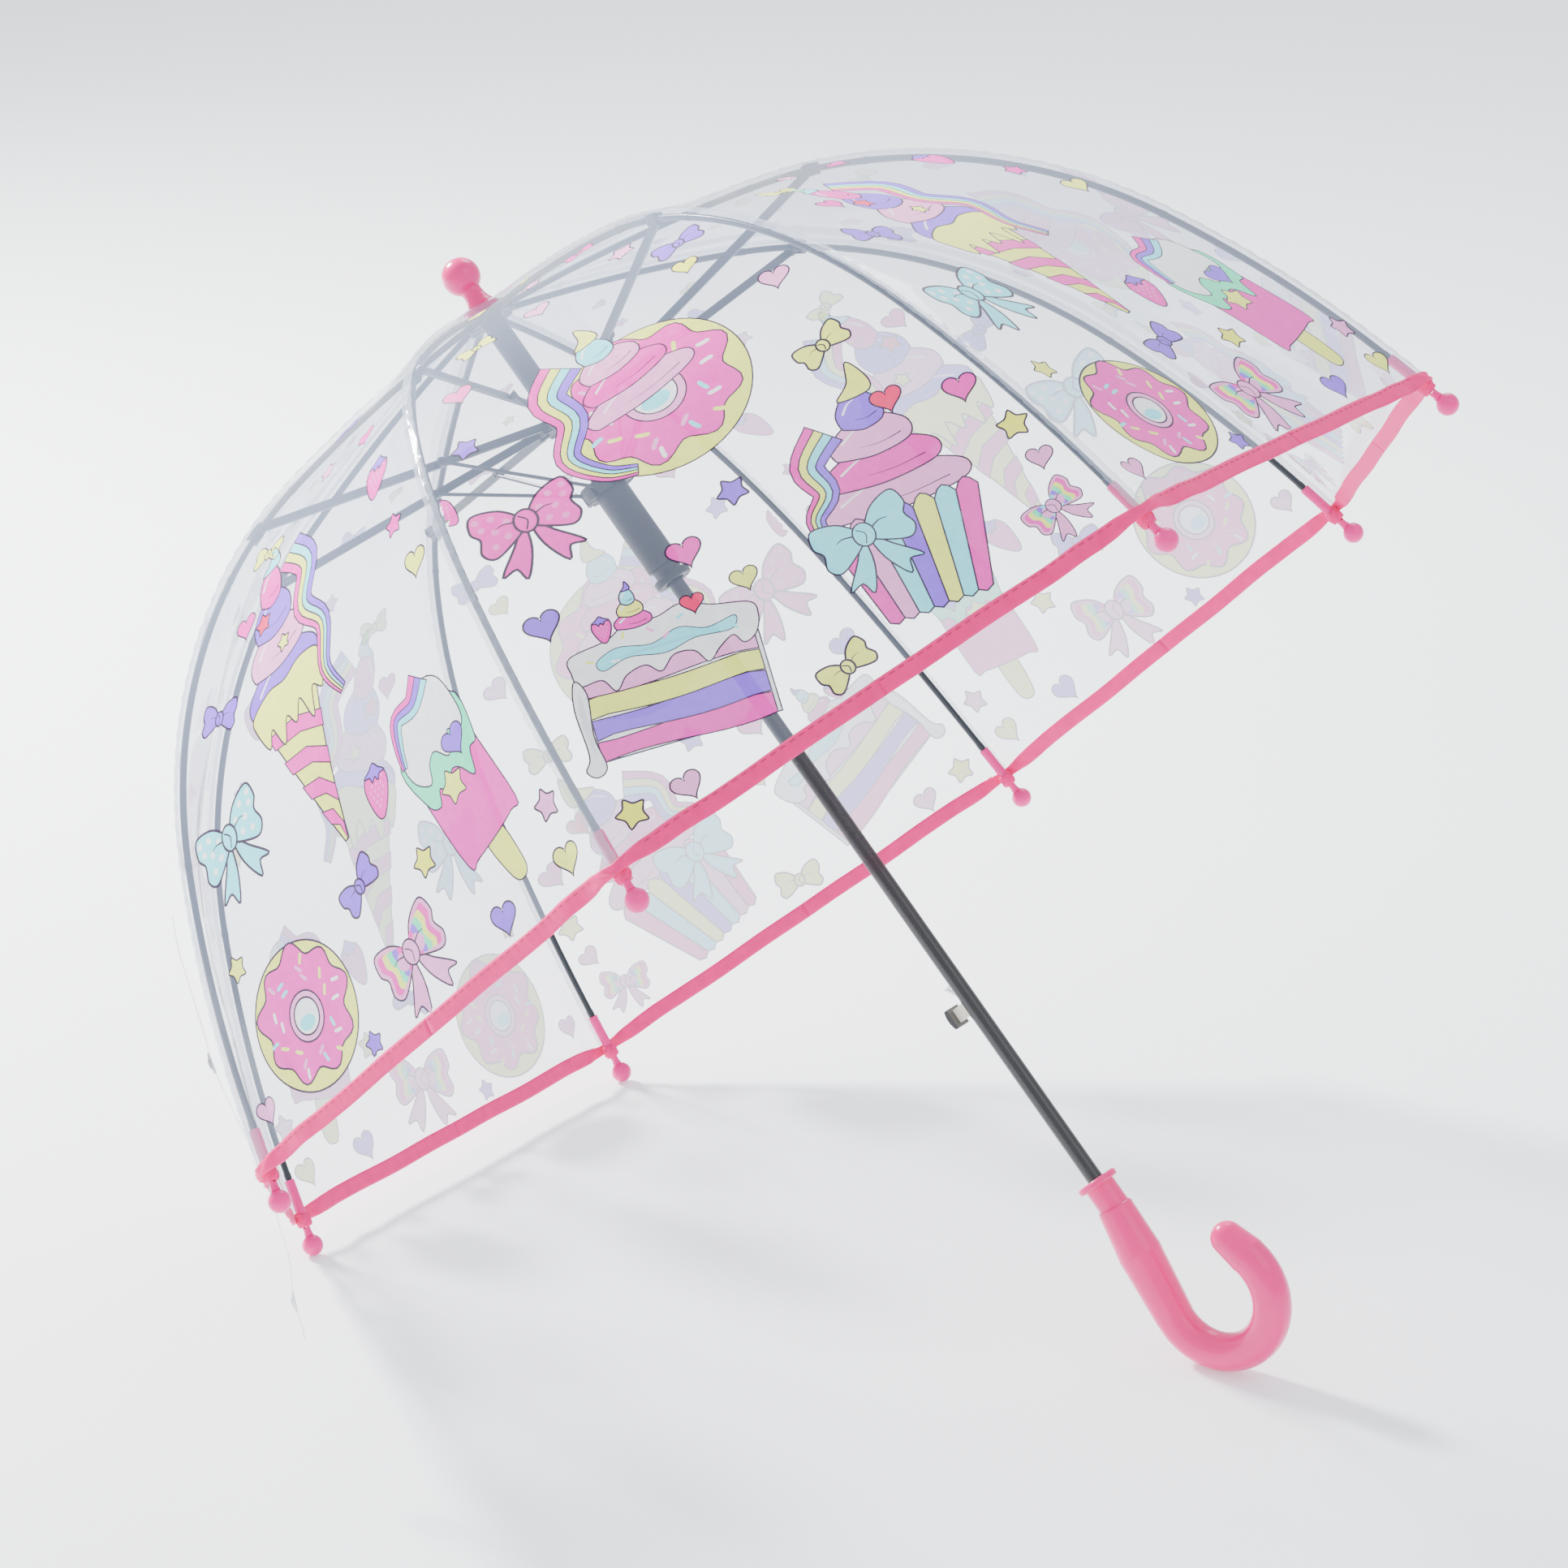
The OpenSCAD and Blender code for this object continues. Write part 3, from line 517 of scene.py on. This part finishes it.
def donut(r=26.0):
    a = np.linspace(0, 2 * math.pi, 72, endpoint=False)
    drip = r * (0.86 + 0.075 * np.sin(9 * a + 0.6) + 0.03 * np.sin(5 * a))
    out = shape("yellow", ellipse(r, r * 0.97, n=56))
    out += shape("hot", np.c_[drip * np.cos(a), drip * 0.97 * np.sin(a) + r * 0.05])
    rings = [(0.62, i * 0.7) for i in range(9)] + [(0.5, 0.35 + i * 0.9) for i in range(7)]
    rings += [(0.74, 0.3 + i) for i in range(6)]
    out += sprinkles([(r * q * math.cos(t), r * q * math.sin(t)) for q, t in rings], r / 26)
    out += shape("light", ellipse(r * 0.33, n=30))
    out += shape("white", ellipse(r * 0.24, n=28))
    out += [("blue", move(ellipse(r * 0.16, r * 0.1, n=16), -r * 0.02, -r * 0.08))]
    return out


def swirl(tiers, w, h, colours):
    """Soft cream piled in tiers, narrowing to a curl at the top."""
    out = []
    for i in range(tiers):
        f = 1 - i / (tiers + 0.25)
        ww, y = w * f, h * i / tiers
        hh = h / tiers * 0.95
        lobe = smooth([(-ww, y), (-ww * 1.02, y + hh * 0.5), (-ww * 0.55, y + hh), (0, y + hh * 1.15),
                       (ww * 0.55, y + hh), (ww * 1.02, y + hh * 0.45), (ww * 0.9, y - hh * 0.15),
                       (0, y - hh * 0.35), (-ww * 0.8, y - hh * 0.15)])
        out += shape(colours[i % len(colours)], lobe)
        out.append(("white", stroke([(-ww * 0.7, y + hh * 0.45), (-ww * 0.35, y + hh * 0.75),
                                     (0, y + hh * 0.85)], 1.1, 0.3)))
        out.append(("outline", stroke([(ww * 0.75, y + hh * 0.12), (ww * 0.2, y + hh * 0.02),
                                       (-ww * 0.3, y + hh * 0.1)], 0.5, 0.15)))
    top = h * 0.98
    return out + shape(colours[tiers % len(colours)],
                       smooth([(-w * 0.2, top), (0, top + w * 0.22), (w * 0.1, top + w * 0.55),
                               (w * 0.28, top + w * 0.2), (w * 0.22, top)], 5))


def locks(path, colours, w=4.6):
    """Side by side ribbons of coloured cream that follow one sweep."""
    p = smooth(path, 5, closed=False)
    d = np.gradient(p, axis=0)
    d /= np.linalg.norm(d, axis=1, keepdims=True)
    n = np.c_[-d[:, 1], d[:, 0]]
    out, c = [], len(colours)
    for i, colour in enumerate(colours):
        taper = np.linspace(1, 0.25, len(p))[:, None]
        mid = p + n * (i - (c - 1) / 2) * w * taper
        ends = np.linspace(w, w * 0.3, len(p))[:, None] / 2
        loop = np.vstack([mid + n * ends, (mid - n * ends)[::-1]])
        out += shape(colour, loop, 0.35)
    return out


def cupcake():
    out = []
    stripes = ["hot", "light", "blue", "purple", "yellow", "blue", "hot"]
    n = len(stripes)
    edge = [(-31 + 62 * i / n, 0) for i in range(n + 1)]
    foot = [(-21 + 42 * i / n, -42) for i in range(n + 1)]
    for i, c in enumerate(stripes):
        a, b, d, e = edge[i], edge[i + 1], foot[i + 1], foot[i]
        mid = ((a[0] + b[0]) / 2, 4.5)
        loop = np.array([a, (a[0] * 0.75 + b[0] * 0.25, 3.2), mid, (a[0] * 0.25 + b[0] * 0.75, 3.2), b,
                         ((b[0] + d[0]) / 2, -21), d, ((d[0] + e[0]) / 2, -43.6), e,
                         ((a[0] + e[0]) / 2, -21)])
        out += shape(c, loop, 0.4)
    cream = swirl(4, 30, 52, ["light", "hot", "light", "purple", "yellow"])
    out = [(c, move(p, 0, 6)) for c, p in cream] + out
    out += [(c, move(p, 0, 6)) for c, p in locks([(-16, 40), (-27, 28), (-24, 14), (-32, 4), (-29, -9)],
                                                 ["hot", "yellow", "blue", "purple"], 4.2)]
    out += [(c, move(p, 12, 50)) for c, p in heart("red", 6)]
    return out + [(c, move(p, -17, -3, turn=8)) for c, p in bow("blue", 19)]


def cake():
    w, h = 39, 46
    out = shape("white", smooth([(-w - 2, -h/2), (-w - 2, h/2), (w + 2, h/2), (w + 2, -h/2)], 1))
    layers = ["hot", "purple", "yellow", "light"]
    for i, c in enumerate(layers):
        y0 = -h / 2 + i * 10.5
        loop = [(-w, y0)] + [(-w + 2 * w * t, y0 + 1.2 * math.sin(t * 6 + i))
                             for t in np.linspace(0.1, 0.9, 9)] + \
            [(w, y0), (w, y0 + 9.6)] + [(w - 2 * w * t, y0 + 10 + 1.2 * math.sin(t * 5 + i))
                                        for t in np.linspace(0.1, 0.9, 9)] + [(-w, y0 + 9.6)]
        out += shape(c, np.array(loop), 0.38)
    cream = smooth([(-w - 3, 22), (-w - 2, 30), (-w * 0.6, 33), (-w * 0.35, 38), (0, 37), (w * 0.3, 40),
                    (w * 0.65, 35), (w + 2, 31), (w + 4, 24), (w + 1, 16), (w - 5, 13), (w - 9, 18),
                    (w - 16, 14), (w - 22, 9), (w - 27, 16), (w - 36, 17), (w - 43, 11), (w - 49, 16),
                    (w - 58, 14), (w - 64, 8), (w - 69, 15), (-w - 1, 15)])
    out += shape("white", cream)
    out += shape("blue", smooth([(-30, 24), (-20, 28), (-5, 25), (8, 29), (20, 25), (33, 27), (30, 21),
                                 (14, 22), (0, 19), (-16, 22), (-28, 19)]), 0.3)
    out += sprinkles([(-28, 31), (-16, 33), (-4, 32), (10, 34), (22, 31), (-33, 25), (2, 27), (32, 22),
                      (-22, 22)])
    out += shape("white", smooth([(-w - 3, 18), (-w - 6, 5), (-w - 5, -18), (-w - 8, -25),
                                  (-w - 4, -29), (-w + 1, -25), (-w - 1, -10), (-w + 1, 10)]))
    out += [(c, move(p, -10, 37)) for c, p in swirl(3, 8, 18, ["hot", "yellow", "blue", "purple"])]
    out += [(q, move(p, -24, 38)) for q, p in strawberry(6)]
    return out + [(q, move(p, 17, 39)) for q, p in heart("red", 5)]


def cone():
    out = shape("yellow", np.array([(-17, 2), (0, 4), (17, 2), (9, -28), (1, -62), (-1, -62),
                                    (-9, -28)], float))
    for i in range(4):
        y = -4 - 14 * i
        wl, wr = 17 * (1 + (y + 2) / 64), 17 * (1 + (y - 10) / 64)
        out += shape("hot", np.array([(-wl, y), (0, y - 2.5), (wr, y - 10), (wr - 1.6, y - 16),
                                      (0, y - 9.5), (-wl + 1.6, y - 6.4)]), 0.3)
    out += [(c, move(p, 0, 8)) for c, p in swirl(4, 21, 60,
                                                 ["purple", "light", "purple", "hot", "blue"])]
    out += shape("yellow", smooth([(-21, 9), (-21, 2), (-17, -8), (-13, -2), (-9, -12), (-4, -3),
                                   (0, -9), (5, -2), (9, -14), (13, -3), (18, -7), (21, 3),
                                   (20, 10), (10, 13), (0, 11), (-10, 13)]))
    out += locks([(12, 66), (23, 50), (18, 32), (27, 16), (22, -2), (27, -16)],
                 ["hot", "yellow", "blue", "purple"], 4.0)
    out += [(c, move(p, -6, 44)) for c, p in star("red", 5)]
    return out + [(c, move(p, 4, 26)) for c, p in star("yellow", 4)]


def lolly():
    def slab(y0, y1, r):
        w = 21
        return smooth([(-w, y0), (-w, (y0 + y1) / 2), (-w, y1 - r), (-w * 0.72, y1 - 1), (0, y1),
                       (w * 0.72, y1 - 1), (w, y1 - r), (w, (y0 + y1) / 2), (w, y0),
                       (w * 0.7, y0 - 2), (0, y0 - 2.5), (-w * 0.7, y0 - 2)], 4)
    out = shape("yellow", smooth([(-5.5, -38), (-5.5, -56), (-3, -63), (3, -63), (5.5, -56),
                                  (5.5, -38)], 4))  # the stick
    out += shape("hot", slab(-38, 40, 16))
    out += shape("mint", smooth([(-21, 24), (-21, -2), (-15, -9), (-10, -3), (-5, -12), (0, -3),
                                 (5, -5), (10, -14), (15, -4), (21, -2), (21, 24)], 5))
    out += shape("white", smooth([(-21, 12), (-20, 32), (-12, 40.5), (0, 42), (12, 40.5), (20, 32),
                                  (21, 12), (15, 6), (10, 12), (4, 3), (-2, 11), (-8, 9),
                                  (-13, 2)], 5))
    out += [(c, move(p, -6, 33)) for c, p in locks([(16, 10), (6, 4), (-6, 6), (-12, -4), (-15, -14)],
                                                   ["hot", "purple", "blue"], 4.4)]
    out += [(c, move(p, -3, -8)) for c, p in star("yellow", 8.5)]
    return out + [(c, move(p, 10, 6)) for c, p in heart("purple", 7)]


def top_donut():
    out = donut(44)
    cream = swirl(4, 27, 50, ["light", "hot", "light", "blue", "yellow"])
    out += [(c, move(p, -2, 4, turn=6)) for c, p in cream]
    return out + locks([(-22, 48), (-36, 34), (-34, 14), (-46, -4), (-38, -22), (-26, -30)],
                       ["hot", "yellow", "blue", "purple"], 5.2)


def rainbow_bow(base="hot"):
    return bow("light", 17, tails=True, bands=("hot", "yellow", "mint", "purple", base))


# where each motif sits on a gore: sideways from its middle, up from the hem, turn, size
LAYOUT = {
    1: [(top_donut(), 3, 182, 0, 1.0), (cupcake(), 52, 62, -14, 1.08), (cake(), -68, 52, -19, 0.95),
        (bow("hot", 13, dots="dots"), -74, 162, -10, 1.75), (heart("hot"), -60, 256, -8, 1.1),
        (heart("hot"), -30, 104, -12, 1.2), (heart("hot"), 105, 96, -18, 1.15),
        (heart("purple"), -96, 112, -10, 1.25),
        (heart("yellow"), -17, 78, -12, 0.95), (heart("gold"), 53, 242, -16, 0.95),
        (heart("light"), 77, 200, -18, 1.1),
        (heart("light"), -6, 288, 0, 1.0), (star("purple"), -74, 218, 0, 1.15),
        (star("purple"), 2, 116, 10, 1.25),
        (star("gold"), 112, 67, -14, 1.25), (star("gold"), -113, 18, 0, 1.25),
        (star("light"), 40, 290, 10, 1.2),
        (bow("yellow", 9, tails=False), -38, 288, 10, 1.0),
        (bow("yellow", 9, tails=False), 72, 152, 12, 1.35),
        (bow("yellow", 9, tails=False), -6, 18, 12, 1.35),
        (bow("purple", 9, tails=False), 59, 262, 0, 1.3),
        (rainbow_bow("blue"), 103, 26, 18, 0.75), (heart("light"), 112, 48, -20, 0.9),
        (heart("light"), -88, 15, 0, 1.05),
        (strawberry(), -100, 190, 14, 0.9), (star("light"), 4, 330, 0, 0.9),
        (heart("yellow"), -22, 346, 0, 0.8),
        (bow("hot", 9, tails=False), 30, 330, 0, 0.8), (heart("hot"), 2, 388, 0, 0.7),
        (star("yellow"), 6, 360, 0, 0.7)],
    2: [(cone(), -14, 172, 8, 1.24), (lolly(), 70, 88, 14, 1.0), (donut(), -66, 44, -6, 1.3),
        (bow("blue", 13, dots="white"), -74, 138, 8, 1.75),
        (bow("purple", 9, tails=False), -66, 196, -20, 1.4),
        (bow("purple", 9, tails=False), -6, 74, 24, 1.45), (strawberry(), 24, 102, -10, 1.1),
        (strawberry(), 62, 243, -8, 1.05),
        (rainbow_bow(), 8, 34, 12, 1.25), (heart("hot"), -43, 233, 0, 1.1),
        (heart("yellow"), 86, 181, -10, 1.15),
        (heart("purple"), 65, 18, -10, 1.2), (heart("yellow"), 111, 20, -8, 1.15),
        (star("hot"), 75, 208, 0, 1.05),
        (star("gold"), 36, 62, 10, 1.25), (star("light"), 113, 44, 0, 1.25),
        (star("purple"), -34, 13, 0, 1.0),
        (bow("yellow", 9, tails=False), -30, 268, -14, 1.15), (heart("light"), -112, 22, 0, 1.0),
        (star("yellow"), -96, 84, 10, 1.1), (star("light"), 10, 292, 0, 1.0),
        (heart("hot"), 44, 286, 10, 0.9),
        (bow("purple", 9, tails=False), 6, 330, 0, 0.9), (heart("yellow"), -18, 350, 0, 0.8),
        (star("hot"), 14, 372, 0, 0.75),
        (heart("light"), 0, 398, 0, 0.65)],
}


def inside(loop, q):
    """Which of the points q lie inside the loop, by even and odd crossings."""
    x, y = q[:, 0], q[:, 1]
    a, b = loop, np.roll(loop, -1, 0)
    hit = np.zeros(len(q), bool)
    for (x0, y0), (x1, y1) in zip(a, b):
        c = (y0 > y) != (y1 > y)
        if c.any():
            hit ^= c & (x < (x1 - x0) * (y - y0) / (y1 - y0 + 1e-12) + x0)
    return hit


def flatten(layers):
    """Cuts overlapping layers into one sheet of triangles, each with its top colour."""
    pts, edges = [], []
    for _, loop in layers:
        n = len(pts)
        pts += [Vector(p) for p in loop]
        edges += [(n + i, n + (i + 1) % len(loop)) for i in range(len(loop))]
    allp = np.array([p[:] for p in pts])
    lo, hi = allp.min(0), allp.max(0)
    for gx in np.arange(lo[0] + 2, hi[0], 9.0):
        for gy in np.arange(lo[1] + 2, hi[1], 9.0):
            pts.append(Vector((gx, gy)))
    v, _, f, *_ = delaunay_2d_cdt(pts, edges, [], 0, 1e-4)
    v, f = np.array([p[:] for p in v]), np.array(f)
    mid = v[f].mean(1)
    size = np.abs(np.cross(v[f[:, 1]] - v[f[:, 0]], v[f[:, 2]] - v[f[:, 0]]))
    colour = np.full(len(f), -1)
    for name, loop in layers:
        box = (mid >= loop.min(0)).all(1) & (mid <= loop.max(0)).all(1)
        hit = np.zeros(len(f), bool)
        hit[box] = inside(loop, mid[box])
        colour[hit] = INK_ORDER.index(name)
    good = (colour >= 0) & (size > 1e-6)
    return v, f[good], colour[good]


def design(layout):
    """All of a gore's motifs as one flat sheet: points, triangles and colours."""
    V, F, C, n = [], [], [], 0
    for layers, x, y, turn, size in layout:
        v, f, c = flatten([(name, move(p, size=size)) for name, p in layers])
        V.append(move(v, x, y, turn))
        F.append(f + n)
        C.append(c)
        n += len(v)
    return np.vstack(V), np.vstack(F), np.concatenate(C)


# length up the gore's middle against length along the rib
_gr, _gz, _ = profile(_s)
_mid = np.r_[0, np.cumsum(np.hypot(np.diff(_gr * math.cos(HALF)), np.diff(_gz)))]
_up = (_mid[-1] - _mid)[::-1]


def rib_length(up):
    return np.interp(up * MM, _up, _s[::-1])


prints = {key: [] for key in films}
for kind in LAYOUT:
    v, f, colour = design(LAYOUT[kind])
    s = rib_length(v[:, 1])
    half = half_width(s) / math.cos(HALF)
    x = v[:, 0] * MM
    ok = (np.abs(x) < half - 0.004) & (v[:, 1] > 6) & (s > 0.03)
    keep = ok[f].all(1)
    f, colour = f[keep], colour[keep]
    for k in RIBS:
        if k % 2 != kind % 2:
            continue
        right = k % 8 + 1
        for owner, sign in ((k, -1), (right, 1)):
            off = half + x if sign < 0 else half - x
            y = off * math.cos(HALF) * (1 if sign < 0 else -1)
            p = surface(owner, s, y, 0.15 * MM)
            mid_x, mid_s = x[f].mean(1), s[f].mean(1)
            side = (mid_x < 0) if sign < 0 else (mid_x >= 0)
            for level, (s0, s1) in LEVELS.items():
                part = side & ((mid_s < ELBOW_S) == (level == "upper"))
                if part.any():
                    prints[level, owner].append((p, f[part], colour[part]))
for (level, k), parts in prints.items():
    V, F, C, n = [], [], [], 0
    for p, f, c in parts:
        used = np.unique(f)
        index = np.zeros(len(p), int)
        index[used] = np.arange(len(used)) + n
        V.append(p[used])
        F.append(index[f])
        C.append(c)
        n += len(used)
    if not V:
        continue
    o = new_mesh(f"print_{level}_{k}", np.vstack(V), np.vstack(F), ["ink_" + n for n in INK_ORDER],
                 f"rib_{k}_{level}", np.concatenate(C))
    pieces_on[level, k].append(o)

# ---------------------------------------------------------------- tie strap

def strap_path():
    """The strap's middle line, read from the CAD strap: rows of points across its width."""
    co = np.array([v.co for v in nodes["tie_strap"].data.vertices], float)
    a = AZ[1] + HALF
    n, e = np.array([math.cos(a), math.sin(a), 0]), np.array([-math.sin(a), math.cos(a), 0])
    flat = np.unique(np.round(np.c_[co @ n, co[:, 2]], 6), axis=0)
    side = (co @ e).mean()
    gap = np.linalg.norm(flat[:, None] - flat[None], axis=2) + np.eye(len(flat))
    mid = np.unique(np.round((flat + flat[gap.argmin(1)]) / 2, 6), axis=0)
    mid = mid[np.argsort(-mid[:, 1])]
    return mid, n, e, side


mid, sn, se, side = strap_path()
width = float(np.ptp(np.array([v.co for v in nodes["tie_strap"].data.vertices]) @ se))
line = smooth(mid, 8, closed=False)
d = np.gradient(line, axis=0)
d /= np.linalg.norm(d, axis=1, keepdims=True)
out_n = np.c_[-d[:, 1], d[:, 0]]
cols = np.array([-1, -0.93, -0.82, -0.5, 0, 0.5, 0.82, 0.93, 1.0])
lift = np.array([-0.1, 0.15, 0.02, 0, 0, 0, 0.02, 0.15, -0.1]) * MM
V = []
for i, (q, nn) in enumerate(zip(line, out_n)):
    end = min(i, len(line) - 1 - i) * 2.6 * MM
    w = width / 2 * math.sqrt(max(0.02, 1 - max(0, 1 - end / (width / 2)) ** 2))
    curl = 0.5 * MM * math.sin(i * 0.35)
    for c, l in zip(cols, lift):
        h = q + nn * (l + curl * c * c)
        V.append(sn * h[0] + se * (side + c * w) + np.array([0, 0, h[1]]))
strap = new_mesh("strap_band", V, grid_faces(len(line), len(cols)), "strap", "rib_2_lower")
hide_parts("tie_strap")

# ---------------------------------------------------------------- the gathered tape at each tip
for k in RIBS:
    c, q = math.cos(AZ[k]), math.sin(AZ[k])
    r, z, n = profile(LENGTH)
    t = np.array([n[1], -n[0]])
    base = np.array([r, z]) - n * 3.7 * MM
    V, F, rows, cols_n = [], [], 9, 28
    for i in range(rows):
        along = -3.4 + 6.8 * i / (rows - 1)
        fat = 3.05 + 0.75 * math.sin(math.pi * i / (rows - 1)) ** 0.6
        for j in range(cols_n):
            a = 2 * math.pi * j / cols_n
            rad = (fat + 0.28 * math.sin(7 * a + i * 0.9 + k) + 0.2 * math.sin(13 * a + 2 * i)) * MM
            m2 = base + t * along * MM + n * rad * math.cos(a)
            y = rad * math.sin(a)
            V.append((m2[0] * c - y * q, m2[0] * q + y * c, m2[1]))
    for i in range(rows - 1):
        for j in range(cols_n):
            F.append((i * cols_n + j, i * cols_n + (j + 1) % cols_n,
                      (i + 1) * cols_n + (j + 1) % cols_n, (i + 1) * cols_n + j))
    F += [tuple(range(cols_n))[::-1], tuple(range((rows - 1) * cols_n, rows * cols_n))]
    o = new_mesh(f"tip_gather_{k}", V, F, "tape", f"rib_{k}_lower")
    pieces_on["lower", k].append(o)

for (level, k), f in films.items():
    s0, s1 = LEVELS[level]
    wide = float(half_width(s1)) / math.cos(HALF) * 2
    for o in [f] + pieces_on[level, k]:
        if not o.name.startswith("tip_gather"):
            settle(o)

# ---------------------------------------------------------------- the CAD nodes' finishes
for name in nodes:
    key = ("frame" if name.startswith(("rib_upper", "rib_lower", "stretcher")) else
           "wire" if name.startswith("strut") else "tip" if name.startswith("rib_tip") else
           {"shaft_tube": "shaft", "finial": "pink", "handle_crook": "pink", "handle_collar": "pink",
            "drive_spring": "steel", "catch_spring": "steel"}.get(name, "black"))
    if not name.startswith(("canopy", "tie_strap")):
        paint(name, key)
low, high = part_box("push_button")
cap = low.x + 4.2 * MM
M["button"] = material("button_two_part", (0.006, 0.0065, 0.008), rough=0.35, vary=0.1, bump=0.15,
                       split=("X", cap, (0.75, 0.72, 0.6)))
paint("push_button", "button")
low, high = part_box("press_studs")
M["studs"] = material("studs_two_part", (0.8, 0.84, 0.86), rough=0.2, coat=0.4, vary=0.04, alpha=0.8,
                      split=("Z", (low.z + high.z) / 2, (0.3, 0.32, 0.31)))
paint("press_studs", "studs")
for o in nodes.values():
    o.data.polygons.foreach_set("use_smooth", [True] * len(o.data.polygons))

# ---------------------------------------------------------------- floor, light, camera

def points(name):
    return np.array([v.co for v in nodes[name].data.vertices], float)


tips = np.vstack([points("rib_tip_1"), points("rib_tip_8")])
crook = points("handle_crook")


def lowest(p, a):
    """The lowest height of the points when up leans by the angle a from the shaft."""
    return float((p @ np.array([math.sin(a), 0, math.cos(a)])).min())


lo_a, hi_a = 0.2, 1.2
for _ in range(40):
    a = (lo_a + hi_a) / 2
    if lowest(tips, a) > lowest(crook, a):
        lo_a = a
    else:
        hi_a = a
up = Vector((math.sin(a), 0, math.cos(a)))
ground = min(lowest(tips, a), lowest(crook, a)) - 0.0004

cam_data = bpy.data.cameras.new("camera")
cam_data.lens, cam_data.sensor_width = 108.2, 36
cam = bpy.data.objects.new("camera", cam_data)
bpy.context.scene.collection.objects.link(cam)
cam.location = (1.3390, -1.7745, 0.0226)
cam.rotation_euler = [math.radians(v) for v in (97.98, 34.82, 41.95)]
bpy.context.view_layer.update()
bpy.context.scene.camera = cam
right = Vector(cam.matrix_world.col[0][:3])
back = Vector(cam.matrix_world.col[2][:3])

FLOOR_REACH = 9.0
fv = []
e1 = Vector((math.cos(a), 0, -math.sin(a)))
e2 = Vector((0, 1, 0))
for i in (-1, 1):
    for j in (-1, 1):
        fv.append(tuple(up * ground + e1 * FLOOR_REACH * i + e2 * FLOOR_REACH * j))
me = bpy.data.meshes.new("floor")
me.from_pydata(fv, [], [(0, 2, 3, 1)])
me.update()
floor = bpy.data.objects.new("floor", me)
bpy.context.scene.collection.objects.link(floor)
if Vector(me.polygons[0].normal).dot(up) < 0:
    me.flip_normals()
fm = material("floor_pale", (0.80, 0.83, 0.86), rough=0.7, vary=0.01, vary_scale=2, bump=0.02, spec=0.2)
ft = fm.node_tree
shine = ft.nodes["Principled BSDF"].inputs
shine["Emission Color"].default_value = (0.93, 0.965, 1, 1)
shine["Emission Strength"].default_value = 0.5
geo = ft.nodes.new("ShaderNodeNewGeometry")
clear = ft.nodes.new("ShaderNodeBsdfTransparent")
mixer = ft.nodes.new("ShaderNodeMixShader")
outp = ft.nodes["Material Output"]
ft.links.new(geo.outputs["Backfacing"], mixer.inputs[0])
ft.links.new(ft.nodes["Principled BSDF"].outputs[0], mixer.inputs[1])
ft.links.new(clear.outputs[0], mixer.inputs[2])
ft.links.new(mixer.outputs[0], outp.inputs["Surface"])
me.materials.append(fm)

world = bpy.data.worlds.new("world")
world.use_nodes = True
bg = world.node_tree.nodes["Background"]
bg.inputs[0].default_value = (0.90, 0.925, 0.955, 1)
bg.inputs[1].default_value = 1.5
wt = world.node_tree
path = wt.nodes.new("ShaderNodeLightPath")
seen = wt.nodes.new("ShaderNodeBackground")
seen.inputs[0].default_value = (0.93, 0.96, 1, 1)
seen.inputs[1].default_value = 2.5
pick = wt.nodes.new("ShaderNodeMixShader")
wt.links.new(path.outputs["Is Camera Ray"], pick.inputs[0])
wt.links.new(bg.outputs[0], pick.inputs[1])
wt.links.new(seen.outputs[0], pick.inputs[2])
wt.links.new(pick.outputs[0], wt.nodes["World Output"].inputs["Surface"])
bpy.context.scene.world = world


def lamp(name, at, aim, power, size, colour=(1, 1, 1)):
    d = bpy.data.lights.new(name, "AREA")
    d.energy, d.size, d.color = power, size, colour
    o = bpy.data.objects.new(name, d)
    bpy.context.scene.collection.objects.link(o)
    o.location = at
    o.rotation_euler = (Vector(aim) - Vector(at)).to_track_quat("-Z", "Y").to_euler()


centre = Vector((0, 0, 0.3))
lamp("key", centre - right * 1.7 + up * 1.9 - back * 1.5, centre, 300, 0.42, (1, 0.985, 0.96))
lamp("fill", centre + right * 1.4 + up * 1.6 + back * 1.6, centre, 14, 2.0, (0.95, 0.97, 1))
lamp("rim", centre + right * 0.4 + up * 2.6 - back * 1.8, centre, 22, 1.0, (0.97, 0.98, 1))
